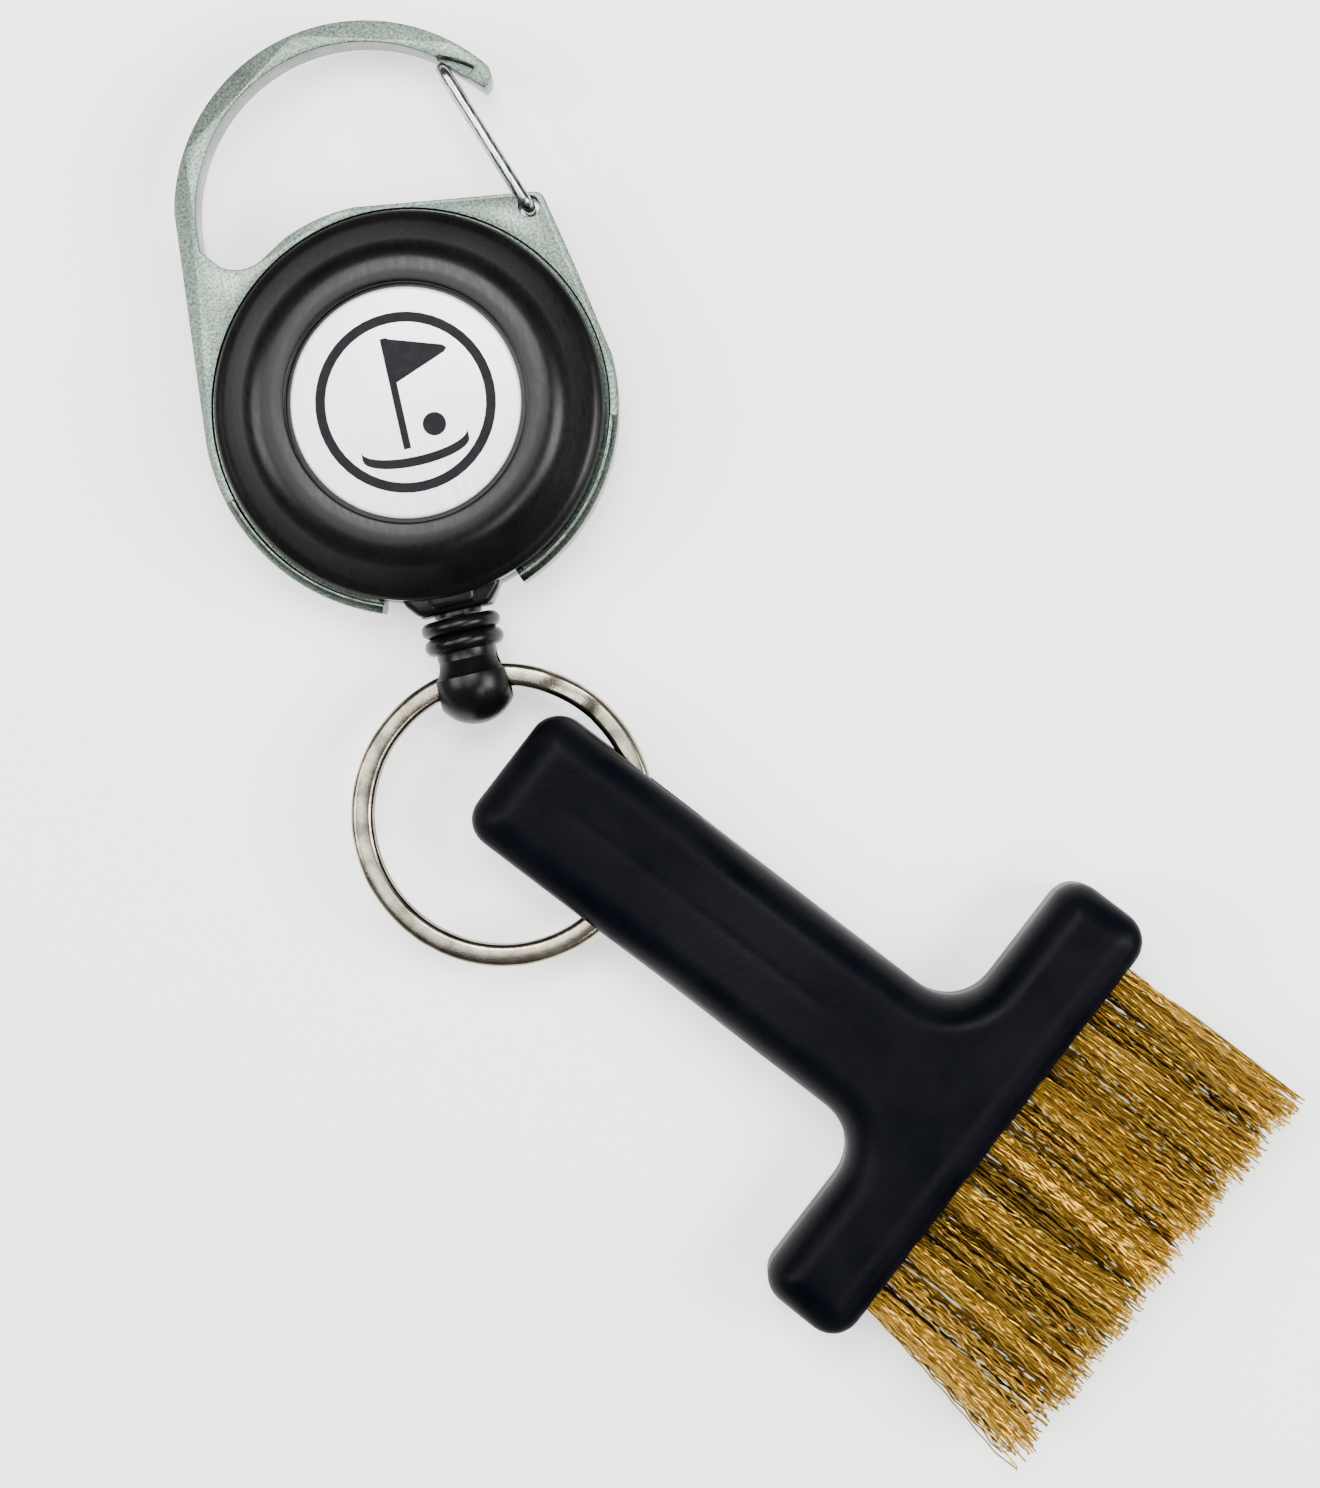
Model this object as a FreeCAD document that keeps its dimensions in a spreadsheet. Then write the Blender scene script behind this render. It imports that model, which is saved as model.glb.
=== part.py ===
import FreeCAD, Part
import math
import os
import re
import Sketcher
from FreeCAD import Placement, Rotation, Vector

# Club groove brush on a retractable carabiner reel, lying on its back.
# Millimetres. The origin is the centre of the reel's flat back face, +Z points out of the front,
# +Y runs along the reel to the top of the hook, and the cord leaves towards -Y.

doc = FreeCAD.newDocument("club_groove_brush")
dims = doc.addObject("Spreadsheet::Sheet", "dims")

SIZES = [
    ("mid_height", 5.0, "height of the mid-plane of frame, cord, ring and brush"),
    # reel housing
    ("reel_radius", 15.9, "outer radius of both covers"),
    ("floor_wall", 1.2, "thickness of the back cover's floor"),
    ("side_wall", 1.6, "thickness of the covers' side wall"),
    ("rim_height", 8.6, "height of the front cover's outer rim"),
    ("slope_radius", 12.9, "radius where the sloping rim meets the ridge"),
    ("slope_height", 10.9, "height where the sloping rim meets the ridge"),
    ("ridge_radius", 11.3, "radius of the ridge's crest"),
    ("ridge_height", 11.6, "height of the ridge's crest"),
    ("ridge_lip", 0.2, "drop from the crest to the ridge's inner edge"),
    ("label_radius", 9.35, "radius of the label disc"),
    ("label_gap", 0.4, "groove round the label disc"),
    ("label_floor", 10.6, "height of the seat under the label"),
    ("label_thick", 0.5, "thickness of the label disc"),
    ("cavity_top", 6.4, "height of the cavity's roof over the spool flanges"),
    ("cover_roof", 9.4, "height of the cavity's roof over the spring"),
    ("roof_step", 11.8, "radius where the cavity's roof steps down"),
    ("cover_chamfer", 0.9, "chamfer round the back face"),
    ("lip_thick", 0.55, "thickness of the front cover's locating lip"),
    ("lip_depth", 0.6, "depth of the locating lip"),
    ("cover_clear", 0.05, "clearance between the covers' lip and rebate"),
    # carabiner frame
    ("frame_clear", 0.4, "clearance between frame and covers"),
    ("frame_thick", 3.6, "thickness of the frame's plate"),
    ("rim_wall", 0.75, "width of the frame's rim round the reel"),
    ("arm_height", 4.8, "height of the arms' band"),
    ("arm_gap", 20.3, "half angle of the gap between the arm ends, degrees"),
    ("tongue_depth", 0.7, "depth of the tongue that the covers clamp"),
    ("tongue_thick", 1.16, "thickness of that tongue"),
    ("tongue_clear", 0.07, "clearance round the tongue"),
    ("tongue_rise", 0.8, "height of the tongue's middle above the mid-plane"),
    ("lug_width", 1.8, "width of the clamping lug on each arm's end, degrees"),
    ("lug_clear", 0.05, "clearance between the lugs and the covers"),
    ("nose_hollow_depth", 1.3, "depth of the hollow behind the hook's nose"),
    ("arm_chamfer", 0.5, "chamfer on the arms' outer edges"),
    ("arch_offset", -0.2, "sideways place of the hook arch's centre"),
    ("arch_rise", 0.6, "height of the hook arch's centre above the reel's edge"),
    ("arch_radius", 15.6, "outer radius of the hook arch"),
    ("arch_band", 1.75, "width of the hook arch"),
    ("nose_angle", 37.4, "angle of the hook's nose round the arch, degrees"),
    # gate
    ("wire_radius", 0.5, "radius of the gate's wire"),
    ("gate_fit", 0.35, "clearance of the gate's wire in its pivot hole"),
    ("gate_inset", 2.84, "distance of the pivot hole inside the reel's edge, sideways"),
    ("gate_drop", 2.0, "distance of the pivot hole below the reel's edge"),
    ("gate_length", 13.4, "length of the gate from its pivot to its loop"),
    ("gate_lean", 109.7, "direction of the closed gate, degrees"),
    ("gate_clear", 0.1, "clearance between the gate's legs and the plate"),
    ("pin_bend", 0.75, "bend radius at the gate's pins"),
    ("loop_bend", 1.2, "bend radius at the gate's loop"),
    # reel mechanism
    ("post_radius", 1.55, "radius of the centre post"),
    ("spigot_radius", 1.2, "radius of the post's pressed end"),
    ("spigot_depth", 0.8, "depth of the post's pressed end"),
    ("post_top", 6.3, "height of the post's top"),
    ("bore_clear", 0.1, "clearance of the spool on the post"),
    ("spool_gap", 0.3, "running gap above and below the spool"),
    ("spool_edge", 0.4, "running gap round the spool"),
    ("flange_thick", 0.6, "thickness of the spool's flanges"),
    ("drum_radius", 10.4, "outer radius of the spool's drum"),
    ("drum_wall", 0.6, "wall of the drum"),
    ("hub_wall", 0.75, "wall of the spool's hub"),
    ("hub_rise", 0.4, "height of the hub above the flange"),
    ("boss_radius", 2.6, "radius of the bosses under and over the post"),
    ("spring_turns", 8, "turns of the mainspring"),
    ("spring_strip", 0.22, "thickness of the mainspring's strip"),
    ("spring_width", 2.9, "width of the mainspring's strip"),
    ("spring_clear", 0.1, "clearance at the mainspring's ends"),
    ("screw_head", 1.9, "radius of the cover screw's head"),
    ("head_thick", 1.1, "thickness of the cover screw's head"),
    ("screw_radius", 0.9, "radius of the cover screw's shank"),
    ("screw_length", 6.0, "length of the cover screw's shank"),
    ("screw_clear", 0.12, "clearance round the cover screw"),
    ("screw_sink", 0.2, "depth of the screw's head below the label's seat"),
    ("boss_clear", 0.05, "gap between the back cover's boss and the spool"),
    ("coil_clear", 0.05, "clearance of the wound cord on its spool"),
    # cord and outlet
    ("cord_radius", 0.45, "radius of the cord"),
    ("coil_depth", 2.55, "depth of the wound cord on the drum"),
    ("collar_base", 4.15, "half width of the outlet collar at the reel"),
    ("collar_mouth", 2.9, "half width of the outlet collar at its mouth"),
    ("collar_length", 1.2, "how far the collar stands out of the reel"),
    ("collar_half", 2.7, "half height of the outlet collar"),
    ("collar_chamfer", 0.8, "chamfer of the collar's front and back edges"),
    ("guide_radius", 1.5, "outer radius of the outlet guide"),
    ("guide_fit", 0.3, "clearance of the cord in the outlet guide"),
    ("guide_flange", 2.0, "radius of the guide's two flanges"),
    ("guide_flange_thick", 0.3, "thickness of the guide's flanges"),
    ("guide_clear", 0.05, "clearance round the outlet guide"),
    # end fitting
    ("fitting_gap", 0.15, "gap between the outlet guide and the fitting"),
    ("rib_radius", 3.3, "radius of the fitting's ribs"),
    ("rib_groove", 2.65, "radius between the ribs"),
    ("rib_pitch", 1.35, "distance from rib to rib"),
    ("neck_radius", 2.5, "radius of the fitting's neck"),
    ("neck_length", 0.7, "length of the fitting's neck"),
    ("ball_radius", 3.5, "radius of the fitting's ball"),
    ("ball_shoulder", 1.4, "distance from the neck to the ball's edge band"),
    ("ball_band", 0.85, "width of the ball's edge band"),
    ("ball_depth", 3.2, "distance from the edge band to the ball's end"),
    ("cross_fit", 0.52, "clearance of the ring in the hole through the ball"),
    ("cord_fit", 0.15, "clearance of the cord in the fitting's hole"),
    ("knot_radius", 1.0, "radius of the cord's knot"),
    ("knot_clear", 0.15, "clearance round the knot"),
    ("knot_depth", 1.4, "distance from the fitting's top to the knot's seat"),
    # split ring
    ("ring_outer", 12.5, "outer radius of the split ring"),
    ("ring_width", 1.85, "width of the ring's wire across its face"),
    ("ring_turn", 1.15, "thickness of one turn of the ring"),
    ("ring_notch", 0.28, "depth of the seam between the ring's turns"),
    ("ring_seat", 0.275, "offset of the ring's mid line in the ball's hole"),
    # brush
    ("brush_angle", -50.1, "direction of the brush, degrees"),
    ("ring_along", 2.23, "ring centre along the handle from its end"),
    ("ring_across", -3.56, "ring centre across the handle"),
    ("grip_width", 12.5, "width of the handle"),
    ("grip_length", 41.9, "length of the handle up to the bar"),
    ("grip_round", 2.4, "corner radius of the handle's end"),
    ("grip_thick", 10.0, "thickness of handle and bar"),
    ("grip_bevel", 1.3, "bevel round the handle"),
    ("bar_width", 42.3, "length of the brush's bar"),
    ("bar_depth", 8.45, "depth of the brush's bar"),
    ("bar_round", 2.4, "radius of the bar's back corners"),
    ("bar_nose", 2.6, "radius of the bar's front corners"),
    ("throat_round", 4.2, "fillet between handle and bar"),
    ("dip_place", 17.5, "centre of the thumb dip along the handle"),
    ("dip_length", 20.0, "length of the thumb dip"),
    ("dip_depth", 0.9, "depth of the thumb dip"),
    ("slot_fit", 0.6, "clearance above and below the ring in its slot"),
    ("slot_clear", 0.5, "end clearance of the ring in its slot"),
    ("tuft_pitch", 5.45, "distance from tuft to tuft in a row"),
    ("row_pitch", 2.35, "distance from row to row"),
    ("tuft_fit", 0.05, "clearance of a tuft in its hole"),
    ("hole_depth", 5.0, "depth of the tuft holes"),
    ("tuft_root", 1.1, "radius of a tuft in its hole"),
    ("tuft_tip", 1.7, "radius of a tuft at its tips"),
    ("tuft_length", 17.9, "length of a tuft outside the bar"),
    ("tuft_splay", 9.0, "lean of the splayed end tuft, degrees"),
    ("anchor_thick", 0.4, "thickness of a tuft's anchor"),
    ("anchor_depth", 0.7, "depth of a tuft's anchor"),
]
for row, (alias, size, note) in enumerate(SIZES, 1):
    dims.set(f"A{row}", note)
    dims.set(f"B{row}", str(size))
    dims.setAlias(f"B{row}", alias)
doc.recompute()

# Values worked out from the driving sizes, in the sheet's own names.
DERIVED = {
    "wall_radius": "reel_radius - side_wall",
    "split": "mid_height + tongue_rise",
    "groove_radius": "reel_radius - tongue_depth - tongue_clear",
    "groove_half": "tongue_thick / 2 + tongue_clear",
    "label_seat": "label_radius + label_gap",
    "screw_seat": "label_floor - head_thick - screw_sink",
    "frame_hole": "reel_radius + frame_clear",
    "frame_outer": "reel_radius + frame_clear + rim_wall",
    "arm_face": "reel_radius + frame_clear + rim_wall - arm_chamfer",
    "arch_y": "reel_radius + arch_rise",
    "arch_inner": "arch_radius - arch_band",
    "gate_x": "reel_radius - gate_inset",
    "gate_y": "reel_radius - gate_drop",
    "gate_leg": "frame_thick / 2 + gate_clear + wire_radius",
    "boss_top": "floor_wall + spool_gap - boss_clear",
    "spool_base": "floor_wall + spool_gap",
    "spool_top": "cavity_top - spool_gap",
    "spool_radius": "reel_radius - side_wall - spool_edge",
    "drum_inner": "drum_radius - drum_wall",
    "coil_radius": "drum_radius + coil_depth",
    "collar_end": "reel_radius + collar_length",
    "guide_end": "reel_radius + collar_length + guide_flange_thick",
    "fitting_top": "reel_radius + collar_length + guide_flange_thick + fitting_gap",
    "neck_top": "fitting_top + 2 * rib_pitch + 0.1",
    "band_top": "neck_top + neck_length + ball_shoulder",
    "ball_middle": "band_top + ball_band / 2 + 0.05",
    "fitting_end": "band_top + ball_band + ball_depth",
    "cap_radius": "(ball_radius ^ 2 + ball_depth ^ 2) / (2 * ball_depth)",
    "ring_middle": "ring_outer - ring_width / 2",
    "ring_y": "ball_middle + ring_middle - ring_seat",
    "ring_inner": "ring_outer - ring_width",
    "bar_face": "grip_length + bar_depth",
    "gate_hole": "wire_radius + gate_fit",
    "guide_bore": "cord_radius + guide_fit",
    "cord_bore": "cord_radius + cord_fit",
    "cross_hole": "sqrt((ring_width / 2) ^ 2 + ring_turn ^ 2) + cross_fit",
    "slot_height": "2 * (ring_turn + slot_fit)",
    "tuft_hole": "tuft_root + tuft_fit",
}


def full(expression):
    """The expression with derived values written out and sheet names given their sheet."""
    found = True
    while found:
        expression, found = re.subn(
            r"\b(" + "|".join(DERIVED) + r")\b", lambda name: f"({DERIVED[name[0]]})", expression)
    names = "|".join(alias for alias, _, _ in SIZES)
    return re.sub(rf"\b({names})\b", r"dims.\1", expression)


def value(expression):
    result = dims.evalExpression(full(str(expression)))
    return float(getattr(result, "Value", result))


def bind(thing, prop, expression):
    thing.setExpression(prop, full(str(expression)))


def place(thing, x="0", y="0", z="0", axis=None, angle="0"):
    """Put a thing at a place, turned about an axis."""
    if axis is not None:
        thing.Placement = Placement(Vector(), Rotation(Vector(*axis), value(angle)))
        bind(thing, "Placement.Rotation.Angle", f"({angle}) * 1deg")
    for letter, where in zip("xyz", (x, y, z)):
        bind(thing, f"Placement.Base.{letter}", f"({where}) * 1mm")
    return thing


def primitive(kind, name, **sizes):
    thing = doc.addObject(f"Part::{kind}", name)
    for prop, expression in sizes.items():
        bind(thing, prop, expression)
    return thing


def rod(name, radius, bottom, top, x="0", y="0"):
    """A cylinder along Z."""
    thing = primitive("Cylinder", name, Radius=radius, Height=f"({top}) - ({bottom})")
    return place(thing, x, y, bottom)


def block(name, x0, x1, y0, y1, z0, z1):
    thing = primitive("Box", name, Length=f"({x1}) - ({x0})", Width=f"({y1}) - ({y0})",
                      Height=f"({z1}) - ({z0})")
    return place(thing, x0, y0, z0)


def rod_along(name, axis, radius, start, end, other="0"):
    """A cylinder along X or Y at the mid height; other is its place on the other axis."""
    thing = primitive("Cylinder", name, Radius=radius, Height=f"({end}) - ({start})")
    if axis == "X":
        return place(thing, start, other, "mid_height", (0, 1, 0), "90")
    return place(thing, other, start, "mid_height", (-1, 0, 0), "90")


def join(name, *pieces):
    thing = doc.addObject("Part::MultiFuse", name)
    thing.Shapes = list(pieces)
    return thing


def group(name, pieces):
    thing = doc.addObject("Part::Compound", name)
    thing.Links = list(pieces)
    return thing


def cut(name, base, tool):
    thing = doc.addObject("Part::Cut", name)
    thing.Base = base
    thing.Tool = tool
    return thing


def new_body(name, x="0", y="0", z="0", axis=None, angle="0"):
    return place(doc.addObject("PartDesign::Body", name), x, y, z, axis, angle)


def origin_plane(body, role):
    return next(item for item in body.Origin.OriginFeatures if item.Role == role)


def outline(body, name, role, start, steps, closed=True, offset="0"):
    """A sketch of lines and arcs. A step is an end point, or a point on an arc and its end point.
    Every point is a pair of expressions, tied to the sheet."""
    sketch = body.newObject("Sketcher::SketchObject", name)
    sketch.AttachmentSupport = [(origin_plane(body, role), "")]
    sketch.MapMode = "FlatFace"
    bind(sketch, "AttachmentOffset.Base.z", f"({offset}) * 1mm")

    def pin(item, end, point):
        for kind, expression in zip(("DistanceX", "DistanceY"), point):
            number = sketch.addConstraint(
                Sketcher.Constraint(kind, -1, 1, item, end, value(expression)))
            bind(sketch, f"Constraints[{number}]", expression)

    here = start
    first = last = None
    for step in steps:
        end = step[-1]
        a, b = (Vector(value(p[0]), value(p[1]), 0) for p in (here, end))
        if len(step) == 1:
            item = sketch.addGeometry(Part.LineSegment(a, b), False)
            head, tail = 1, 2
        else:
            middle = Vector(value(step[0][0]), value(step[0][1]), 0)
            arc = Part.Arc(a, middle, b)
            item = sketch.addGeometry(arc, False)
            swapped = sketch.getPoint(item, 1).distanceToPoint(a) > 1e-6
            head, tail = (2, 1) if swapped else (1, 2)
            mark = sketch.addGeometry(Part.Point(middle), True)
            pin(mark, 1, step[0])
            sketch.addConstraint(Sketcher.Constraint("PointOnObject", mark, 1, item))
        if last is None:
            first = (item, head)
            pin(item, head, start)
        else:
            sketch.addConstraint(Sketcher.Constraint("Coincident", *last, item, head))
        last = (item, tail)
        if closed and step is steps[-1]:
            sketch.addConstraint(Sketcher.Constraint("Coincident", *last, *first))
        else:
            pin(item, tail, end)
        here = end
    return sketch


def circle(body, name, role, x, y, radius, offset="0"):
    sketch = body.newObject("Sketcher::SketchObject", name)
    sketch.AttachmentSupport = [(origin_plane(body, role), "")]
    sketch.MapMode = "FlatFace"
    bind(sketch, "AttachmentOffset.Base.z", f"({offset}) * 1mm")
    item = sketch.addGeometry(Part.Circle(Vector(value(x), value(y), 0), Vector(0, 0, 1),
                                          value(radius)), False)
    for kind, expression in (("DistanceX", x), ("DistanceY", y)):
        number = sketch.addConstraint(Sketcher.Constraint(kind, -1, 1, item, 3, value(expression)))
        bind(sketch, f"Constraints[{number}]", expression)
    number = sketch.addConstraint(Sketcher.Constraint("Radius", item, value(radius)))
    bind(sketch, f"Constraints[{number}]", radius)
    return sketch


def pad(body, name, sketch, length):
    thing = body.newObject("PartDesign::Pad", name)
    thing.Profile = sketch
    bind(thing, "Length", length)
    return thing


def revolve(body, name, sketch, axis="V_Axis"):
    thing = body.newObject("PartDesign::Revolution", name)
    thing.Profile = sketch
    thing.ReferenceAxis = (sketch, [axis])
    thing.Angle = 360
    thing.Reversed = False
    return thing


def pipe(body, name, path, profile):
    thing = body.newObject("PartDesign::AdditivePipe", name)
    thing.Profile = profile
    thing.Spine = (path, [])
    return thing


def dress(body, kind, name, base, wanted, size):
    """A fillet or chamfer on the edges of base that the test picks."""
    doc.recompute()
    names = [f"Edge{number}" for number, edge in enumerate(base.Shape.Edges, 1) if wanted(edge)]
    thing = body.newObject(f"PartDesign::{kind}", name)
    thing.Base = (base, names)
    bind(thing, "Radius" if kind == "Fillet" else "Size", size)
    return thing


def is_upright(edge):
    a, b = edge.Vertexes[0].Point, edge.Vertexes[-1].Point
    return a.distanceToPoint(b) > 1e-6 and abs(a.x - b.x) + abs(a.y - b.y) < 1e-6


def is_at(edge, heights):
    return any(all(abs(v.Z - height) < 1e-6 for v in edge.Vertexes)
               and abs(edge.CenterOfMass.z - height) < 1e-6 for height in heights)


nodes = {}


def node(label, thing):
    thing.Label = label
    nodes[label] = thing
    return thing


# ---------------------------------------------------------------- carabiner frame
def polar(radius, degrees, x="0", y="0"):
    return (f"({x}) + ({radius}) * cos(({degrees}) * 1deg)",
            f"({y}) + ({radius}) * sin(({degrees}) * 1deg)")


def carabiner_frame():
    """A flat plate with the hook arch, the lug and the rim, and the two arm bands."""
    body = new_body("frame_plate", z="mid_height - frame_thick / 2")
    nose_outer = polar("arch_radius", "nose_angle", "arch_offset", "arch_y")
    nose_end = polar("arch_radius - 0.7", "nose_angle - 4", "arch_offset", "arch_y")
    nose_inner = polar("arch_radius - 1.5", "nose_angle - 4.6", "arch_offset", "arch_y")
    seat = polar("arch_inner", "49", "arch_offset", "arch_y")
    arch_foot = ("arch_offset - arch_inner", "arch_y - 0.3")
    steps = [
        (("-1", "reel_radius + 1.1"),),
        (("-4.1", "reel_radius + 0.8"), ("-7", "reel_radius - 0.1")),
        (("-9.4", "reel_radius - 1.5"),),
        (("-11", "reel_radius - 1.85"), ("-12.7", "reel_radius - 1.3")),
        (arch_foot,),
        (polar("arch_inner", "120", "arch_offset", "arch_y"), seat),
        (nose_inner,),
        (nose_end, nose_outer),
        (polar("arch_radius", "100", "arch_offset", "arch_y"),
         polar("arch_radius", "167.5", "arch_offset", "arch_y")),
        (polar("frame_outer", "178"),),
        (polar("frame_outer", "188"), polar("frame_outer", "195")),
        (polar("arm_face", "197"),),
        (polar("arm_face", "215"), polar("arm_face", "270 - arm_gap")),
        (polar("frame_hole", "270 - arm_gap"),),
        (polar("frame_hole", "90"), polar("frame_hole", "270 + arm_gap")),
        (polar("arm_face", "270 + arm_gap"),),
        (polar("arm_face", "325"), polar("arm_face", "343")),
        (polar("frame_outer", "345"),),
        (polar("frame_outer", "354"), polar("frame_outer", "2")),
        (("gate_x + 2.7", "reel_radius - 8"),),
        (("gate_x + 1.25", "gate_y + 1"),),
    ]
    sketch = outline(body, "frame_outline", "XY_Plane", ("gate_x + 1.25", "gate_y + 1"), steps)
    plate = pad(body, "frame_pad", sketch, "frame_thick")
    corner = value("gate_x + 1.25")
    dress(body, "Fillet", "lug_corner", plate,
          lambda edge: is_upright(edge) and abs(edge.Vertexes[0].X - corner) < 0.01, "0.9")

    arms = []
    low, high = "-arm_height / 2", "arm_height / 2"
    for side, start in (("left", "195"), ("right", "270 + arm_gap")):
        band = new_body(f"{side}_arm", z="mid_height", axis=(0, 0, 1), angle=start)
        begin = ("frame_hole", low)
        profile = outline(band, f"{side}_arm_profile", "XZ_Plane", begin,
                          [(("frame_outer - arm_chamfer", low),),
                           (("frame_outer", f"{low} + arm_chamfer"),),
                           (("frame_outer", f"{high} - arm_chamfer"),),
                           (("frame_outer - arm_chamfer", high),), (("frame_hole", high),), (begin,)])
        arc = revolve(band, f"{side}_arm_turn", profile)
        bind(arc, "Angle", "75 - arm_gap")
        arms.append(band)
    lugs = []
    for side, start in (("left", "270 - arm_gap - lug_width"), ("right", "270 + arm_gap")):
        lug = primitive("Cylinder", f"{side}_lug", Radius="frame_hole + rim_wall / 2",
                        Height="frame_thick", Angle="lug_width")
        lugs.append(place(lug, z="mid_height - frame_thick / 2", axis=(0, 0, 1), angle=start))
    clamps = cut("arm_lugs", join("lug_discs", *lugs),
                 rod("lug_bore", "reel_radius + lug_clear", "0", "2 * mid_height"))

    tongue_disc = primitive("Cylinder", "tongue_disc", Radius="frame_hole + rim_wall / 2",
                            Height="tongue_thick", Angle="360 - 2 * arm_gap")
    place(tongue_disc, z="split - tongue_thick / 2", axis=(0, 0, 1), angle="270 + arm_gap")
    tongue = cut("frame_tongue", tongue_disc,
                 rod("tongue_bore", "reel_radius - tongue_depth", "0", "2 * mid_height"))

    # The nose is hollowed from the front, where the gate's loop comes to rest.
    hollow_body = new_body("nose_hollow", z="mid_height + frame_thick / 2 - nose_hollow_depth")
    inner_edge = outline(
        hollow_body, "nose_hollow_outline", "XY_Plane",
        polar("arch_inner - 1", "52", "arch_offset", "arch_y"),
        [(polar("arch_inner + 0.2", "52", "arch_offset", "arch_y"),),
         (polar("arch_inner + 0.65", "46", "arch_offset", "arch_y"),
          polar("arch_radius - 0.75", "nose_angle + 2.5", "arch_offset", "arch_y")),
         (polar("arch_inner - 1", "nose_angle + 2.5", "arch_offset", "arch_y"),),
         (polar("arch_inner - 1", "52", "arch_offset", "arch_y"),)])
    pad(hollow_body, "nose_hollow_pad", inner_edge, "2")
    pivot = rod("gate_pivot_hole", "gate_hole", "0", "2 * mid_height", "gate_x", "gate_y")
    whole = join("frame_whole", body, *arms, clamps, tongue)
    return node("carabiner_frame", cut("frame_cut", whole, group("frame_voids", [hollow_body, pivot])))


def gate_wire():
    """One bent wire: two pins in the lug's hole, two legs and the closed loop at the nose."""
    body = new_body("gate_body", "gate_x", "gate_y", "mid_height")
    body.Placement.Rotation = (Rotation(Vector(0, 0, 1), value("gate_lean"))
                               * Rotation(Vector(1, 0, 0), 90))
    bow = "(1 - cos(45deg))"
    pin_end = "0.35"
    steps = [(("0", "gate_leg - pin_bend"),),
             ((f"pin_bend * {bow}", f"gate_leg - pin_bend * {bow}"), ("pin_bend", "gate_leg")),
             (("gate_length - loop_bend", "gate_leg"),),
             ((f"gate_length - loop_bend * {bow}", f"gate_leg - loop_bend * {bow}"),
              ("gate_length", "gate_leg - loop_bend")),
             (("gate_length", "loop_bend - gate_leg"),),
             ((f"gate_length - loop_bend * {bow}", f"loop_bend * {bow} - gate_leg"),
              ("gate_length - loop_bend", "-gate_leg")),
             (("pin_bend", "-gate_leg"),),
             ((f"pin_bend * {bow}", f"pin_bend * {bow} - gate_leg"), ("0", "pin_bend - gate_leg")),
             (("0", f"-{pin_end}"),)]
    path = outline(body, "gate_path", "XY_Plane", ("0", pin_end), steps, closed=False)
    profile = circle(body, "gate_section", "XZ_Plane", "0", "0", "wire_radius", f"-{pin_end}")
    pipe(body, "gate_pipe", path, profile)
    return node("gate_wire", body)


# ---------------------------------------------------------------- reel housing
def collar(name, bottom, top, outer):
    """Half of the trapezoid outlet collar, from the split to its front or back edge."""
    body = new_body(f"{name}_body", z=bottom)
    sketch = outline(body, f"{name}_outline", "XY_Plane", ("-collar_base", "-(wall_radius - 0.5)"),
                     [(("collar_base", "-(wall_radius - 0.5)"),),
                      (("collar_base", "-(reel_radius - 0.6)"),),
                      (("collar_mouth", "-collar_end"),),
                      (("-collar_mouth", "-collar_end"),),
                      (("-collar_base", "-(reel_radius - 0.6)"),),
                      (("-collar_base", "-(wall_radius - 0.5)"),)])
    block_pad = pad(body, f"{name}_pad", sketch, f"({top}) - ({bottom})")
    height = value(outer)
    dress(body, "Chamfer", f"{name}_edges", block_pad,
          lambda edge: is_at(edge, (height,))
          and edge.CenterOfMass.y < -value("wall_radius - 0.4"), "collar_chamfer")
    return body


def channel(name):
    """The way that the outlet guide and the cord take through the covers."""
    return join(name,
                rod_along(f"{name}_bore", "Y", "guide_radius + guide_clear", "-collar_end - 1",
                          "-wall_radius + 1"),
                rod_along(f"{name}_mouth", "Y", "guide_flange + guide_clear",
                          "-(reel_radius - 0.9)", "-wall_radius + 1"))


def front_cover():
    """The outer shell: sloping rim, rounded ridge, label seat, screw boss and locating lip."""
    body = new_body("front_shell")
    start = ("groove_radius", "split + groove_half")
    steps = [
        (("reel_radius", "split + groove_half"),),
        (("reel_radius", "rim_height"),),
        (("slope_radius", "slope_height"),),
        (("ridge_radius", "ridge_height"), ("label_seat", "ridge_height - ridge_lip")),
        (("label_seat", "label_floor"),),
        (("screw_head + screw_clear", "label_floor"),),
        (("screw_head + screw_clear", "screw_seat"),),
        (("screw_radius + screw_clear", "screw_seat"),),
        (("screw_radius + screw_clear", "post_top"),),
        (("boss_radius", "post_top"),),
        (("boss_radius + 0.3", "cover_roof"),),
        (("roof_step", "cover_roof"),),
        (("roof_step + 0.5", "cavity_top"),),
        (("wall_radius", "cavity_top"),),
        (("wall_radius", "split - lip_depth"),),
        (("wall_radius + lip_thick", "split - lip_depth"),),
        (("wall_radius + lip_thick", "split"),),
        (("groove_radius", "split"),),
        (start,),
    ]
    revolve(body, "front_turn", outline(body, "front_profile", "XZ_Plane", start, steps))
    solid = join("front_solid", body, collar("front_collar", "split", "mid_height + collar_half",
                                             "mid_height + collar_half - split"))
    cavity = rod("front_cavity", "wall_radius", "split - 1", "cavity_top")
    return node("front_cover",
                cut("front_cut", solid, group("front_voids", [join("front_void", cavity,
                                                                   channel("front_channel"))])))


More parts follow.
